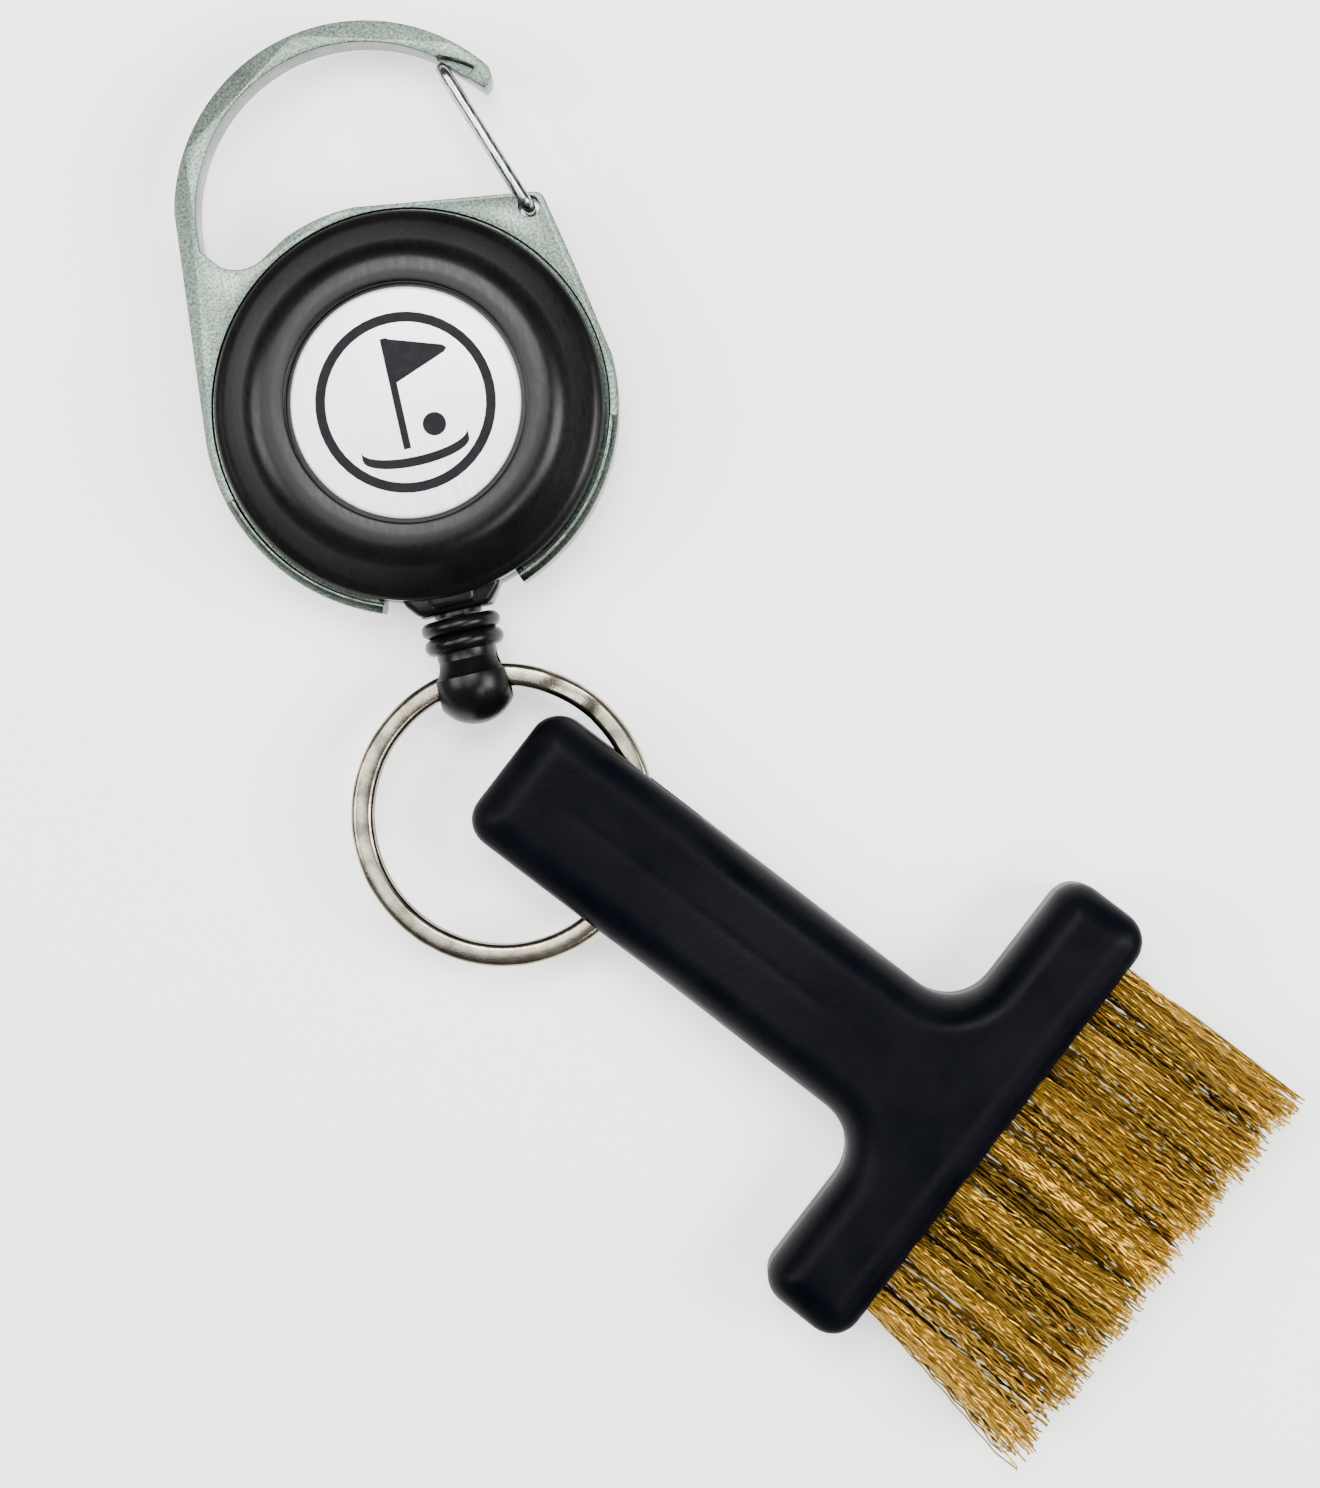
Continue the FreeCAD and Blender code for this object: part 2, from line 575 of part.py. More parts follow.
def back_cover():
    """The dish that carries the post, with the rebate for the front cover's lip."""
    body = new_body("back_shell")
    start = ("0", "0")
    rebate = "wall_radius + lip_thick + cover_clear"
    steps = [
        (("reel_radius - cover_chamfer", "0"),),
        (("reel_radius", "cover_chamfer"),),
        (("reel_radius", "split - groove_half"),),
        (("groove_radius", "split - groove_half"),),
        (("groove_radius", "split"),),
        ((rebate, "split"),),
        ((rebate, "split - lip_depth - cover_clear"),),
        (("wall_radius", "split - lip_depth - cover_clear"),),
        (("wall_radius", "floor_wall"),),
        (("boss_radius", "floor_wall"),),
        (("boss_radius", "boss_top"),),
        (("spigot_radius", "boss_top"),),
        (("spigot_radius", "boss_top - spigot_depth"),),
        (("0", "boss_top - spigot_depth"),),
        (start,),
    ]
    revolve(body, "back_turn", outline(body, "back_profile", "XZ_Plane", start, steps))
    half = collar("back_collar", "mid_height - collar_half", "split", "0")
    solid = join("back_solid", body, half)
    cavity = rod("back_cavity", "wall_radius", "floor_wall", "split + 1")
    lip = rod("back_lip_room", rebate, "split - lip_depth - cover_clear", "split + 1")
    return node("back_cover", cut("back_cut", solid, join("back_void", cavity, lip,
                                                          channel("back_channel"))))


def label_disc():
    return node("label_disc", rod("label", "label_radius", "label_floor", "label_floor + label_thick"))


# ---------------------------------------------------------------- reel mechanism
def centre_post():
    body = new_body("post_body")
    start = ("0", "boss_top - spigot_depth")
    steps = [(("spigot_radius", "boss_top - spigot_depth"),), (("spigot_radius", "boss_top"),),
             (("post_radius", "boss_top"),), (("post_radius", "post_top"),),
             (("screw_radius", "post_top"),),
             (("screw_radius", "screw_seat - screw_length - 0.2"),),
             (("0", "screw_seat - screw_length - 0.2"),), (start,)]
    revolve(body, "post_turn", outline(body, "post_profile", "XZ_Plane", start, steps))
    slot = block("post_slot", "0", "post_radius + 1", "-0.2", "0.2", "spool_base + 1.2", "post_top + 1")
    return node("centre_post", cut("post_cut", body, slot))


def cover_screw():
    head = rod("screw_top", "screw_head", "screw_seat", "screw_seat + head_thick")
    shank = rod("screw_shank", "screw_radius", "screw_seat - screw_length", "screw_seat + 0.1")
    cross = [block(f"screw_cross_{name}", f"-{x}", x, f"-{y}", y, "screw_seat + head_thick - 0.6",
                   "screw_seat + head_thick + 1")
             for name, x, y in (("a", "1.1", "0.2"), ("b", "0.2", "1.1"))]
    return node("cover_screw", cut("screw_cut", join("screw_solid", head, shank),
                                   join("screw_cross", *cross)))


def spool():
    """Two flanges and the drum that holds the mainspring, turning on the post."""
    body = new_body("spool_body")
    bore = "post_radius + bore_clear"
    start = (bore, "spool_base")
    steps = [(("spool_radius", "spool_base"),), (("spool_radius", "spool_base + flange_thick"),),
             (("drum_radius", "spool_base + flange_thick"),),
             (("drum_radius", "spool_top - flange_thick"),),
             (("spool_radius", "spool_top - flange_thick"),), (("spool_radius", "spool_top"),),
             (("drum_inner", "spool_top"),), (("drum_inner", "spool_base + flange_thick"),),
             ((f"{bore} + hub_wall", "spool_base + flange_thick"),),
             ((f"{bore} + hub_wall", "spool_base + flange_thick + hub_rise"),),
             ((bore, "spool_base + flange_thick + hub_rise"),), (start,)]
    revolve(body, "spool_turn", outline(body, "spool_profile", "XZ_Plane", start, steps))
    return node("spool", body)


def mainspring():
    """A flat strip in a spiral of half circles, from the post out to the drum."""
    strip = value("spring_strip")
    inner = value("post_radius + spring_clear") + strip / 2
    outer = value("drum_inner - spring_clear") - strip / 2
    halves = 2 * int(value("spring_turns"))
    # A spiral of half circles round two centres: each half grows by the same step.
    growth = (outer - inner) / halves
    edges = {}
    for side in (-strip / 2, strip / 2):
        edges[side] = []
        for half in range(halves):
            radius = inner + growth * half + side
            centre = growth if half % 2 else 0.0
            turn = 180.0 * (half % 2)
            points = [Vector(centre + radius * math.cos(math.radians(turn + step)),
                             radius * math.sin(math.radians(turn + step)), 0)
                      for step in (0, 90, 180)]
            edges[side].append(Part.Arc(*points).toShape())
    low, high = edges[-strip / 2], edges[strip / 2]

    def cap(a, b):
        return Part.LineSegment(a, b).toShape()

    def tip(edge, end):
        return edge.Curve.value(edge.LastParameter if end else edge.FirstParameter)

    wire = Part.Wire(Part.__sortEdges__(
        low + high + [cap(tip(low[0], 0), tip(high[0], 0)), cap(tip(low[-1], 1), tip(high[-1], 1))]))
    thing = doc.addObject("Part::Feature", "spring_strip_shape")
    thing.Shape = Part.Face(wire).extrude(Vector(0, 0, value("spring_width")))
    thing.Placement = Placement(
        Vector(0, 0, value("spool_base + flange_thick + hub_rise + 0.15")), Rotation())
    return node("mainspring", thing)


# ---------------------------------------------------------------- cord
def cord_coil():
    groove = ("spool_base + flange_thick + coil_clear", "spool_top - flange_thick - coil_clear")
    return node("cord_coil", cut("coil_cut", rod("coil_outer", "coil_radius", *groove),
                                 rod("coil_inner", "drum_radius + coil_clear", "0", "2 * mid_height")))


LEAD_BEND = "1.6"
LEAD_TURN = "67.4"


def cord_lead():
    """The cord from the wound coil round the guide's mouth to the guide's face."""
    body = new_body("lead_body", z="mid_height")
    slope = f"(90 - {LEAD_TURN}) * 1deg"
    corner = "-(reel_radius - 1.35)"
    tangent = f"{LEAD_BEND} * tan({LEAD_TURN} / 2 * 1deg)"
    run = "5.6"
    bow_x = f"-{LEAD_BEND} * (1 - cos({LEAD_TURN} / 2 * 1deg))"
    bow_y = f"{corner} - {tangent} + {LEAD_BEND} * sin({LEAD_TURN} / 2 * 1deg)"
    steps = [(("0", f"{corner} - {tangent}"),),
             ((bow_x, bow_y), (f"-({tangent}) * cos({slope})", f"{corner} + {tangent} * sin({slope})")),
             ((f"-{run} * cos({slope})", f"{corner} + {run} * sin({slope})"),)]
    path = outline(body, "lead_path", "XY_Plane", ("0", "-guide_end"), steps, closed=False)
    profile = circle(body, "lead_section", "XZ_Plane", "0", "0", "cord_radius", "guide_end")
    pipe(body, "lead_pipe", path, profile)
    return node("cord_lead", body)


def cord_run():
    return node("cord_run", rod_along("cord_run_rod", "Y", "cord_radius",
                                      "-(fitting_top + knot_depth)", "-guide_end"))


def cord_knot():
    ball = primitive("Sphere", "knot_ball", Radius="knot_radius")
    return node("cord_knot", place(ball, "0", "-(fitting_top + knot_depth + knot_radius)", "mid_height"))


def outlet_guide():
    """The eyelet in the collar's mouth."""
    body = new_body("guide_body", z="mid_height")
    start = ("guide_bore", "-guide_end")
    inner = "-(reel_radius - 0.9)"
    steps = [(("guide_flange", "-guide_end"),), (("guide_flange", "-collar_end"),),
             (("guide_radius", "-collar_end"),), (("guide_radius", inner),),
             (("guide_flange", inner),), (("guide_flange", f"{inner} + guide_flange_thick"),),
             (("guide_bore + 0.75", f"{inner} + guide_flange_thick"),),
             (("guide_bore", f"{inner} - 0.5"),), (start,)]
    revolve(body, "guide_turn", outline(body, "guide_profile", "XY_Plane", start, steps))
    return node("outlet_guide", body)


# ---------------------------------------------------------------- end fitting and ring
def end_fitting():
    """Two ribs, a neck and a ball, drilled along for the cord and across for the ring."""
    body = new_body("fitting_body", z="mid_height")
    start = ("cord_bore", "-fitting_top")
    seat = "-(fitting_top + knot_depth)"
    steps = [
        (("rib_groove", "-fitting_top"),),
        (("rib_radius", "-(fitting_top + rib_pitch / 2)"), ("rib_groove", "-(fitting_top + rib_pitch)")),
        (("rib_radius", "-(fitting_top + rib_pitch * 1.5)"), ("neck_radius", "-neck_top")),
        (("neck_radius", "-(neck_top + neck_length)"),),
        (("ball_radius - 0.15", "-(band_top - 0.1)"),),
        (("ball_radius", "-band_top"),),
        (("ball_radius", "-(band_top + ball_band)"),),
        (("cap_radius * sin(45deg)", "-(fitting_end - cap_radius * (1 - cos(45deg)))"),
         ("0", "-fitting_end")),
        (("0", "-(ball_middle + 1)"),),
        (("knot_radius + knot_clear", "-(ball_middle + 1)"),),
        (("knot_radius + knot_clear", seat),),
        (("cord_bore", seat),),
        (start,),
    ]
    revolve(body, "fitting_turn", outline(body, "fitting_profile", "XY_Plane", start, steps))
    hole = rod_along("fitting_hole", "X", "cross_hole", "-ball_radius - 1", "ball_radius + 1",
                     "-ball_middle")
    return node("end_fitting", cut("fitting_cut", body, hole))


def split_ring():
    """Two flat turns with a seam between them."""
    body = new_body("ring_body", y="-ring_y", z="mid_height")
    edge = "0.3"
    start = ("ring_inner + ring_notch", "0")
    steps = [(("ring_inner", "ring_notch"),), (("ring_inner", f"ring_turn - {edge}"),),
             ((f"ring_inner + {edge}", "ring_turn"),), ((f"ring_outer - {edge}", "ring_turn"),),
             (("ring_outer", f"ring_turn - {edge}"),), (("ring_outer", "ring_notch"),),
             (("ring_outer - ring_notch", "0"),), (("ring_outer", "-ring_notch"),),
             (("ring_outer", f"{edge} - ring_turn"),), ((f"ring_outer - {edge}", "-ring_turn"),),
             ((f"ring_inner + {edge}", "-ring_turn"),), (("ring_inner", f"{edge} - ring_turn"),),
             (("ring_inner", "-ring_notch"),), (start,)]
    revolve(body, "ring_turned", outline(body, "ring_profile", "XZ_Plane", start, steps))
    return node("split_ring", body)


# ---------------------------------------------------------------- brush
# The handle's own axes: x along the handle from its end, y across it, z up.
ALONG = ("cos(brush_angle * 1deg)", "sin(brush_angle * 1deg)")


def on_brush(along, across):
    """Row coordinates of a place given along and across the handle."""
    x = f"(({along}) - ring_along) * {ALONG[0]} - (({across}) - ring_across) * {ALONG[1]}"
    y = f"(({along}) - ring_along) * {ALONG[1]} + (({across}) - ring_across) * {ALONG[0]} - ring_y"
    return x, y


def lay_on_brush(thing, along="0", across="0", z="0"):
    return place(thing, *on_brush(along, across), z, (0, 0, 1), "brush_angle")


ROWS = (("front", 1, 7), ("middle", 0, 6), ("back", -1, 7))


def tuft_places():
    """Each row's name, height above the floor and places across the bar."""
    for name, side, count in ROWS:
        height = f"grip_thick / 2 + {side} * row_pitch"
        yield name, height, [f"({number} - {(count - 1) / 2}) * tuft_pitch" for number in range(count)]


def along_brush(name, radius, start, end, across, height):
    """A cylinder along the handle."""
    thing = primitive("Cylinder", name, Radius=radius, Height=f"({end}) - ({start})")
    place(thing, *on_brush(start, across), height)
    thing.setExpression("Placement.Rotation", None)
    turn = Rotation(Vector(0, 0, 1), value("brush_angle")) * Rotation(Vector(0, 1, 0), 90)
    thing.Placement = Placement(thing.Placement.Base, turn)
    return thing


def brush_handle():
    """The T-shaped grip with its thumb dip, the cross slot for the ring and the tuft holes."""
    body = lay_on_brush(doc.addObject("PartDesign::Body", "grip_body"))
    half, bar = "grip_width / 2", "bar_width / 2"
    start = ("0", f"-{half}")
    steps = [(("grip_length", f"-{half}"),), (("grip_length", f"-{bar}"),), (("bar_face", f"-{bar}"),),
             (("bar_face", bar),), (("grip_length", bar),), (("grip_length", half),),
             (("0", half),), (start,)]
    solid = pad(body, "grip_pad", outline(body, "grip_outline", "XY_Plane", start, steps), "grip_thick")
    corner_x = {"grip_round": 0.0, "bar_nose": value("bar_face")}
    last = solid
    for size, x in corner_x.items():
        last = dress(body, "Fillet", f"{size}_corners", last,
                     lambda edge: is_upright(edge) and abs(edge.Vertexes[0].X - x) < 1e-6, size)
    at_bar = value("grip_length")
    for size, y in (("throat_round", value(half)), ("bar_round", value(bar))):
        last = dress(body, "Fillet", f"{size}_corners", last,
                     lambda edge: is_upright(edge) and abs(edge.Vertexes[0].X - at_bar) < 1e-6
                     and abs(abs(edge.Vertexes[0].Y) - y) < 1e-6, size)
    dress(body, "Chamfer", "grip_bevels", last,
          lambda edge: is_at(edge, (0.0, value("grip_thick"))), "grip_bevel")

    dip_radius = "((dip_length / 2) ^ 2 + dip_depth ^ 2) / (2 * dip_depth)"
    dip = primitive("Cylinder", "thumb_dip", Radius=dip_radius, Height="grip_width + 2")
    place(dip, *on_brush("dip_place", "grip_width / 2 + 1"),
          f"grip_thick - dip_depth + {dip_radius}")
    dip.Placement = Placement(dip.Placement.Base, Rotation(Vector(0, 0, 1), value("brush_angle"))
                              * Rotation(Vector(1, 0, 0), 90))
    reach = "min(grip_width / 2 - ring_across; ring_inner)"
    slot_start = f"ring_along + sqrt(ring_inner ^ 2 - {reach} ^ 2) - slot_clear"
    slot_end = "ring_along + ring_outer + slot_clear"
    slot = primitive("Box", "ring_slot", Length=f"({slot_end}) - ({slot_start})",
                     Width="grip_width + 2", Height="slot_height")
    lay_on_brush(slot, slot_start, "-grip_width / 2 - 1", "mid_height - slot_height / 2")
    holes = [along_brush(f"{row}_hole_{number}", "tuft_hole", "bar_face - hole_depth",
                         "bar_face + 1", across, height)
             for row, height, places in tuft_places() for number, across in enumerate(places)]
    slotted = cut("grip_slotted", cut("grip_dipped", body, dip), slot)
    return node("brush_handle", cut("grip_cut", slotted, join("grip_holes", *holes)))


def tufts():
    """One node for each row of wire tufts, and one for each row's anchors."""
    for row, height, places in tuft_places():
        brushes, anchors = [], []
        for number, across in enumerate(places):
            name = f"{row}_tuft_{number}"
            root = along_brush(f"{name}_root", "tuft_root", "bar_face - hole_depth + anchor_depth",
                               "bar_face", across, height)
            fan = primitive("Cone", f"{name}_fan", Radius1="tuft_root", Radius2="tuft_tip",
                            Height="tuft_length")
            place(fan, *on_brush("bar_face", across), height)
            lean = -value("tuft_splay") if (row, number) == ("front", 0) else 0.0
            fan.Placement = Placement(
                fan.Placement.Base, Rotation(Vector(0, 0, 1), value("brush_angle") + lean)
                * Rotation(Vector(0, 1, 0), 90))
            brushes.append(join(name, root, fan))
            anchor = primitive("Box", f"{row}_anchor_{number}", Length="anchor_depth",
                               Width="2 * tuft_root", Height="anchor_thick")
            lay_on_brush(anchor, "bar_face - hole_depth", f"({across}) - tuft_root",
                         f"{height} - anchor_thick / 2")
            anchors.append(anchor)
        node(f"tufts_{row}_row", group(f"{row}_tufts", brushes))
        node(f"anchors_{row}_row", group(f"{row}_anchors", anchors))


def main():
    for build in (carabiner_frame, gate_wire, front_cover, back_cover, label_disc, centre_post,
                  cover_screw, spool, mainspring, cord_coil, cord_lead, cord_run, cord_knot,
                  outlet_guide, end_fitting, split_ring, brush_handle, tufts):
        build()
    doc.recompute()
    failed = [f"{thing.Name} {thing.State}" for thing in doc.Objects
              if {"Invalid", "Error"} & set(thing.State)]
    for label, thing in nodes.items():
        if thing.Shape.isNull() or not thing.Shape.isValid() or not thing.Shape.Solids:
            failed.append(f"{label} has no sound shape")
    if failed:
        raise RuntimeError("; ".join(failed))
    os.makedirs("parts", exist_ok=True)
    for label, thing in nodes.items():
        thing.Shape.exportStep(f"parts/{label}.step")
        size = thing.Shape.BoundBox
        print(f"{label:20s} solids {len(thing.Shape.Solids):2d}  volume {thing.Shape.Volume:9.2f}"
              f"  x {size.XMin:7.2f} {size.XMax:7.2f}  y {size.YMin:7.2f} {size.YMax:7.2f}"
              f"  z {size.ZMin:6.2f} {size.ZMax:6.2f}")


main()
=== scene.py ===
# %% [markdown]
# # A club groove brush on a retractable reel
# The object is a small brass-wire brush for cleaning golf clubs. It hangs from a split ring,
# the ring from a cord that winds into a reel, and the reel from a carabiner hook.
# The exact solids were made in a CAD program and come in as a fixed frame. This lesson gives
# them their looks: some keep their shape and get a finish, others are rebuilt in mesh code.

# %% Load the frame
import math

import bmesh
import bpy
import numpy as np
from mathutils import Euler, Matrix, Vector


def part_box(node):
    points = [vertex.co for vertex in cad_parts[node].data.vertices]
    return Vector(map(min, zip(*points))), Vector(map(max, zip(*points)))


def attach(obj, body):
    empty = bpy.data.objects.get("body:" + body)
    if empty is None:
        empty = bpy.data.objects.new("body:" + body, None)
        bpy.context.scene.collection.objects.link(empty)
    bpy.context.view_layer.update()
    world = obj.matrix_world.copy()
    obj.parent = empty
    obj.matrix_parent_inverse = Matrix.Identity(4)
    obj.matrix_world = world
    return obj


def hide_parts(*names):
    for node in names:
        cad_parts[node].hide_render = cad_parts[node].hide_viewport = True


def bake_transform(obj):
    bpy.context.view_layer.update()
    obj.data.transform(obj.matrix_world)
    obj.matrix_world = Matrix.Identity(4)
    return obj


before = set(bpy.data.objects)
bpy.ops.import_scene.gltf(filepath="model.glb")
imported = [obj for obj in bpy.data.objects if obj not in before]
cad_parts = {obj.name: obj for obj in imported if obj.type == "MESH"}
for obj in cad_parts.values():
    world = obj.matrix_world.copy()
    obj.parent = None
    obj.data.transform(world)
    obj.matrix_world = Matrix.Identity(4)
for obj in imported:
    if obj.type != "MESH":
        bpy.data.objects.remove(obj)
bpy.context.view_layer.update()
MM = 0.001

# %% [markdown]
# ## Camera
# A small object is best shown from almost straight above, from about 28 cm. A camera can be placed
# by hand or by numbers. Numbers are used here: three small tilts, the distance, and how far the
# view's middle lies from the reel's centre.

# %% Place the camera
SENSOR = 24.0
VIEW_TILT = [math.radians(angle) for angle in (0.456, -1.028, 12.62)]
VIEW_DISTANCE = 280 * MM
VIEW_SHIFT = (20.303 * MM, -27.621 * MM)
VIEW_REACH = 124.83 * MM

turn_x, turn_y, turn_z = (Matrix.Rotation(angle, 3, axis) for angle, axis in zip(VIEW_TILT, "XYZ"))
row_to_view = turn_x @ turn_y @ turn_z
camera_data = bpy.data.cameras.new("camera")
camera_data.sensor_fit = "VERTICAL"
camera_data.sensor_height = SENSOR
camera_data.lens = SENSOR * VIEW_DISTANCE / VIEW_REACH
camera_data.clip_start = 0.01
camera = bpy.data.objects.new("camera", camera_data)
bpy.context.scene.collection.objects.link(camera)
eye = row_to_view.transposed() @ Vector((*VIEW_SHIFT, VIEW_DISTANCE))
camera.matrix_world = Matrix.Translation(eye) @ row_to_view.transposed().to_4x4()
bpy.context.scene.camera = camera
print("lens", round(camera_data.lens, 1), "mm, camera at", [round(x / MM) for x in eye], "mm")

# %% [markdown]
# ## Helpers
# Colours are given as sRGB hex codes, as a paint maker would give them. Blender works in linear
# light, so one function turns them round. A second one adds a shader node and fills its sockets.
# Nodes can be drawn by hand too, but code is short and can be run again.

# %% Make the small helpers
def paint(code):
    """An sRGB hex colour as the linear colour that Blender works in."""
    parts = [int(code[i:i + 2], 16) / 255 for i in (1, 3, 5)]
    return tuple(c / 12.92 if c <= 0.04045 else ((c + 0.055) / 1.055) ** 2.4 for c in parts) + (1.0,)


def add_node(tree, kind, sockets=None, **settings):
    """Add one shader node, set its properties, and set or link its sockets."""
    node = tree.nodes.new("ShaderNode" + kind)
    for name, value in settings.items():
        setattr(node, name, value)
    for name, value in (sockets or {}).items():
        if isinstance(value, bpy.types.NodeSocket):
            tree.links.new(value, node.inputs[name])
        else:
            node.inputs[name].default_value = value
    return node


def new_finish(name, **sockets):
    """A material with a Principled shader, and its node tree. Socket names use _ for a space."""
    finish = bpy.data.materials.new(name)
    finish.use_nodes = True
    tree = finish.node_tree
    shader = tree.nodes["Principled BSDF"]
    for socket, value in sockets.items():
        shader.inputs[socket.replace("_", " ")].default_value = value
    return finish, tree, shader


def new_object(name, mesh):
    """A new object in the scene that holds a mesh."""
    piece = bpy.data.objects.new(name, mesh)
    bpy.context.scene.collection.objects.link(piece)
    return piece


print("mid grey in linear light:", [round(part, 3) for part in paint("#808080")])

# %% [markdown]
# ## Floor and light
# The brush lies on a pale plain table, in soft light. One bright sky could light it all, but
# separate lamps can be aimed. A large lamp overhead gives the broad grey sheen on glossy black
# plastic, a key lamp beside it brightens the metal, and those at the sides draw lines along its
# round edges. A pale sky fills the shadows, and the table glows a little, so it stays pale.

# %% Build the floor and the lamps
TABLE_HALF = 2.0
TABLE_TOP = -0.02 * MM
TABLE_GLOW = 0.9
SKY_GLOW = 0.22
LAMP_AIM = Vector((15 * MM, -30 * MM, 0))

table_mesh = bpy.data.meshes.new("table_top")
corners = [(x * TABLE_HALF, y * TABLE_HALF, TABLE_TOP)
           for x, y in ((-1, -1), (1, -1), (1, 1), (-1, 1))]
table_mesh.from_pydata(corners, [], [(0, 1, 2, 3)])
table = new_object("table_top", table_mesh)
table_finish, _, _ = new_finish("pale_table", Base_Color=paint("#F4F4F2"), Roughness=0.9,
                                  Emission_Color=paint("#FFFFFF"),
                                  Emission_Strength=TABLE_GLOW)
table_mesh.materials.append(table_finish)

LAMPS = (  # name, place in mm, width and depth in mm, power in watts
    ("overhead", (-45, 75, 420), (290, 240), 1.5),
    ("key", (35, 120, 410), (170, 150), 1.3),
    ("low_right", (150, -250, 400), (120, 110), 0.6),
    ("left_side", (-330, 60, 350), (200, 220), 1.9),
    ("right_side", (340, -120, 350), (200, 220), 3.0),
)
for name, place, (width, depth), power in LAMPS:
    lamp_data = bpy.data.lights.new(name, "AREA")
    lamp_data.shape = "RECTANGLE"
    lamp_data.size = width * MM
    lamp_data.size_y = depth * MM
    lamp_data.energy = power
    lamp = bpy.data.objects.new(name, lamp_data)
    bpy.context.scene.collection.objects.link(lamp)
    lamp.location = Vector(place) * MM
    aim = LAMP_AIM - lamp.location
    lamp.rotation_euler = aim.to_track_quat("-Z", "Y").to_euler()

sky = bpy.data.worlds.new("pale_sky")
sky.use_nodes = True
glow = sky.node_tree.nodes["Background"]
glow.inputs["Color"].default_value = paint("#F2F4F6")
glow.inputs["Strength"].default_value = SKY_GLOW
bpy.context.scene.world = sky
print("lamps:", [lamp[0] for lamp in LAMPS])

# %% [markdown]
# ## Patterns
# No real surface has one even colour or one even roughness. A scanned texture could bring the
# marks in, but noise made by rule has no seams and keeps its true size, since it is measured in
# mm on the surface. These helpers make the noise, and map it to colours, roughness and bumps.

# %% Make the pattern helpers
def object_place(tree, scale=(1, 1, 1)):
    """The surface's own place in metres, stretched by scale."""
    place = add_node(tree, "TexCoord")
    return add_node(tree, "Mapping", {"Vector": place.outputs["Object"], "Scale": scale}).outputs[0]


def grain(tree, size, detail=3.0, stretch=(1, 1, 1)):
    """Soft noise whose lumps are about size mm across."""
    where = object_place(tree, stretch)
    return add_node(tree, "TexNoise", {"Vector": where, "Scale": 1 / (size * MM), "Detail": detail})


def spread(tree, value, low, high, start=0.3, end=0.7):
    """Map a 0 to 1 pattern to the range low to high."""
    return add_node(tree, "MapRange", {"Value": value, "From Min": start, "From Max": end,
                                       "To Min": low, "To Max": high}).outputs["Result"]


def tint(tree, value, dark, light, start=0.35, end=0.65):
    """Map a 0 to 1 pattern to a colour between dark and light."""
    ramp = add_node(tree, "ValToRGB", {"Fac": value})
    ramp.color_ramp.elements[0].position = start
    ramp.color_ramp.elements[0].color = paint(dark)
    ramp.color_ramp.elements[1].position = end
    ramp.color_ramp.elements[1].color = paint(light)
    return ramp.outputs["Color"]


def raise_grain(tree, shader, height, depth, normal=None):
    """Bump the surface by a pattern, depth mm high."""
    sockets = {"Height": height, "Distance": depth * MM, "Strength": 1.0}
    if normal is not None:
        sockets["Normal"] = normal
    bump = add_node(tree, "Bump", sockets)
    tree.links.new(bump.outputs["Normal"], shader.inputs["Normal"])
    return bump.outputs["Normal"]


print("patterns are measured in units of", MM, "m")

# %% [markdown]
# ## Metals
# The hook is die-cast zinc, tumbled until it is satin. The gate is drawn spring steel. The split
# ring is nickel plated steel, a little warm beside the zinc, and the bristles are crimped brass
# wire. A metal's colour is its reflection, so each one is fully metallic and keeps the default
# IOR. What tells them apart is the roughness and the marks that their making left.

# %% Mix the metals
def satin_cast_zinc():
    """Tumbled die casting: a fine even grain, with slow changes of sheen."""
    finish, tree, shader = new_finish("satin_cast_zinc", Metallic=1.0)
    slow = grain(tree, 2.6)
    fine = grain(tree, 0.22, 4.0)
    colour = tint(tree, fine.outputs[0], "#37403A", "#5C665E")
    tree.links.new(colour, shader.inputs["Base Color"])
    tree.links.new(spread(tree, slow.outputs[0], 0.24, 0.36), shader.inputs["Roughness"])
    raise_grain(tree, shader, fine.outputs[0], 0.008)
    return finish


def drawn_spring_steel():
    """Bright wire, with faint lines along it from the drawing die."""
    finish, tree, shader = new_finish("drawn_spring_steel", Metallic=1.0)
    marks = grain(tree, 0.25, 2.0, (1.0, 0.12, 1.0))
    tree.links.new(tint(tree, marks.outputs[0], "#7E8284", "#B9BDBD"), shader.inputs["Base Color"])
    tree.links.new(spread(tree, marks.outputs[0], 0.18, 0.3), shader.inputs["Roughness"])
    raise_grain(tree, shader, marks.outputs[0], 0.008)
    return finish


def nickel_plate():
    """Bright plating over rolled wire, with a warm tone and faint handling marks."""
    finish, tree, shader = new_finish("nickel_plate", Metallic=1.0)
    cloud = grain(tree, 1.8)
    marks = grain(tree, 0.12, 2.0)
    tree.links.new(tint(tree, cloud.outputs[0], "#625D52", "#98907F"), shader.inputs["Base Color"])
    tree.links.new(spread(tree, marks.outputs[0], 0.14, 0.27), shader.inputs["Roughness"])
    raise_grain(tree, shader, marks.outputs[0], 0.006)
    return finish


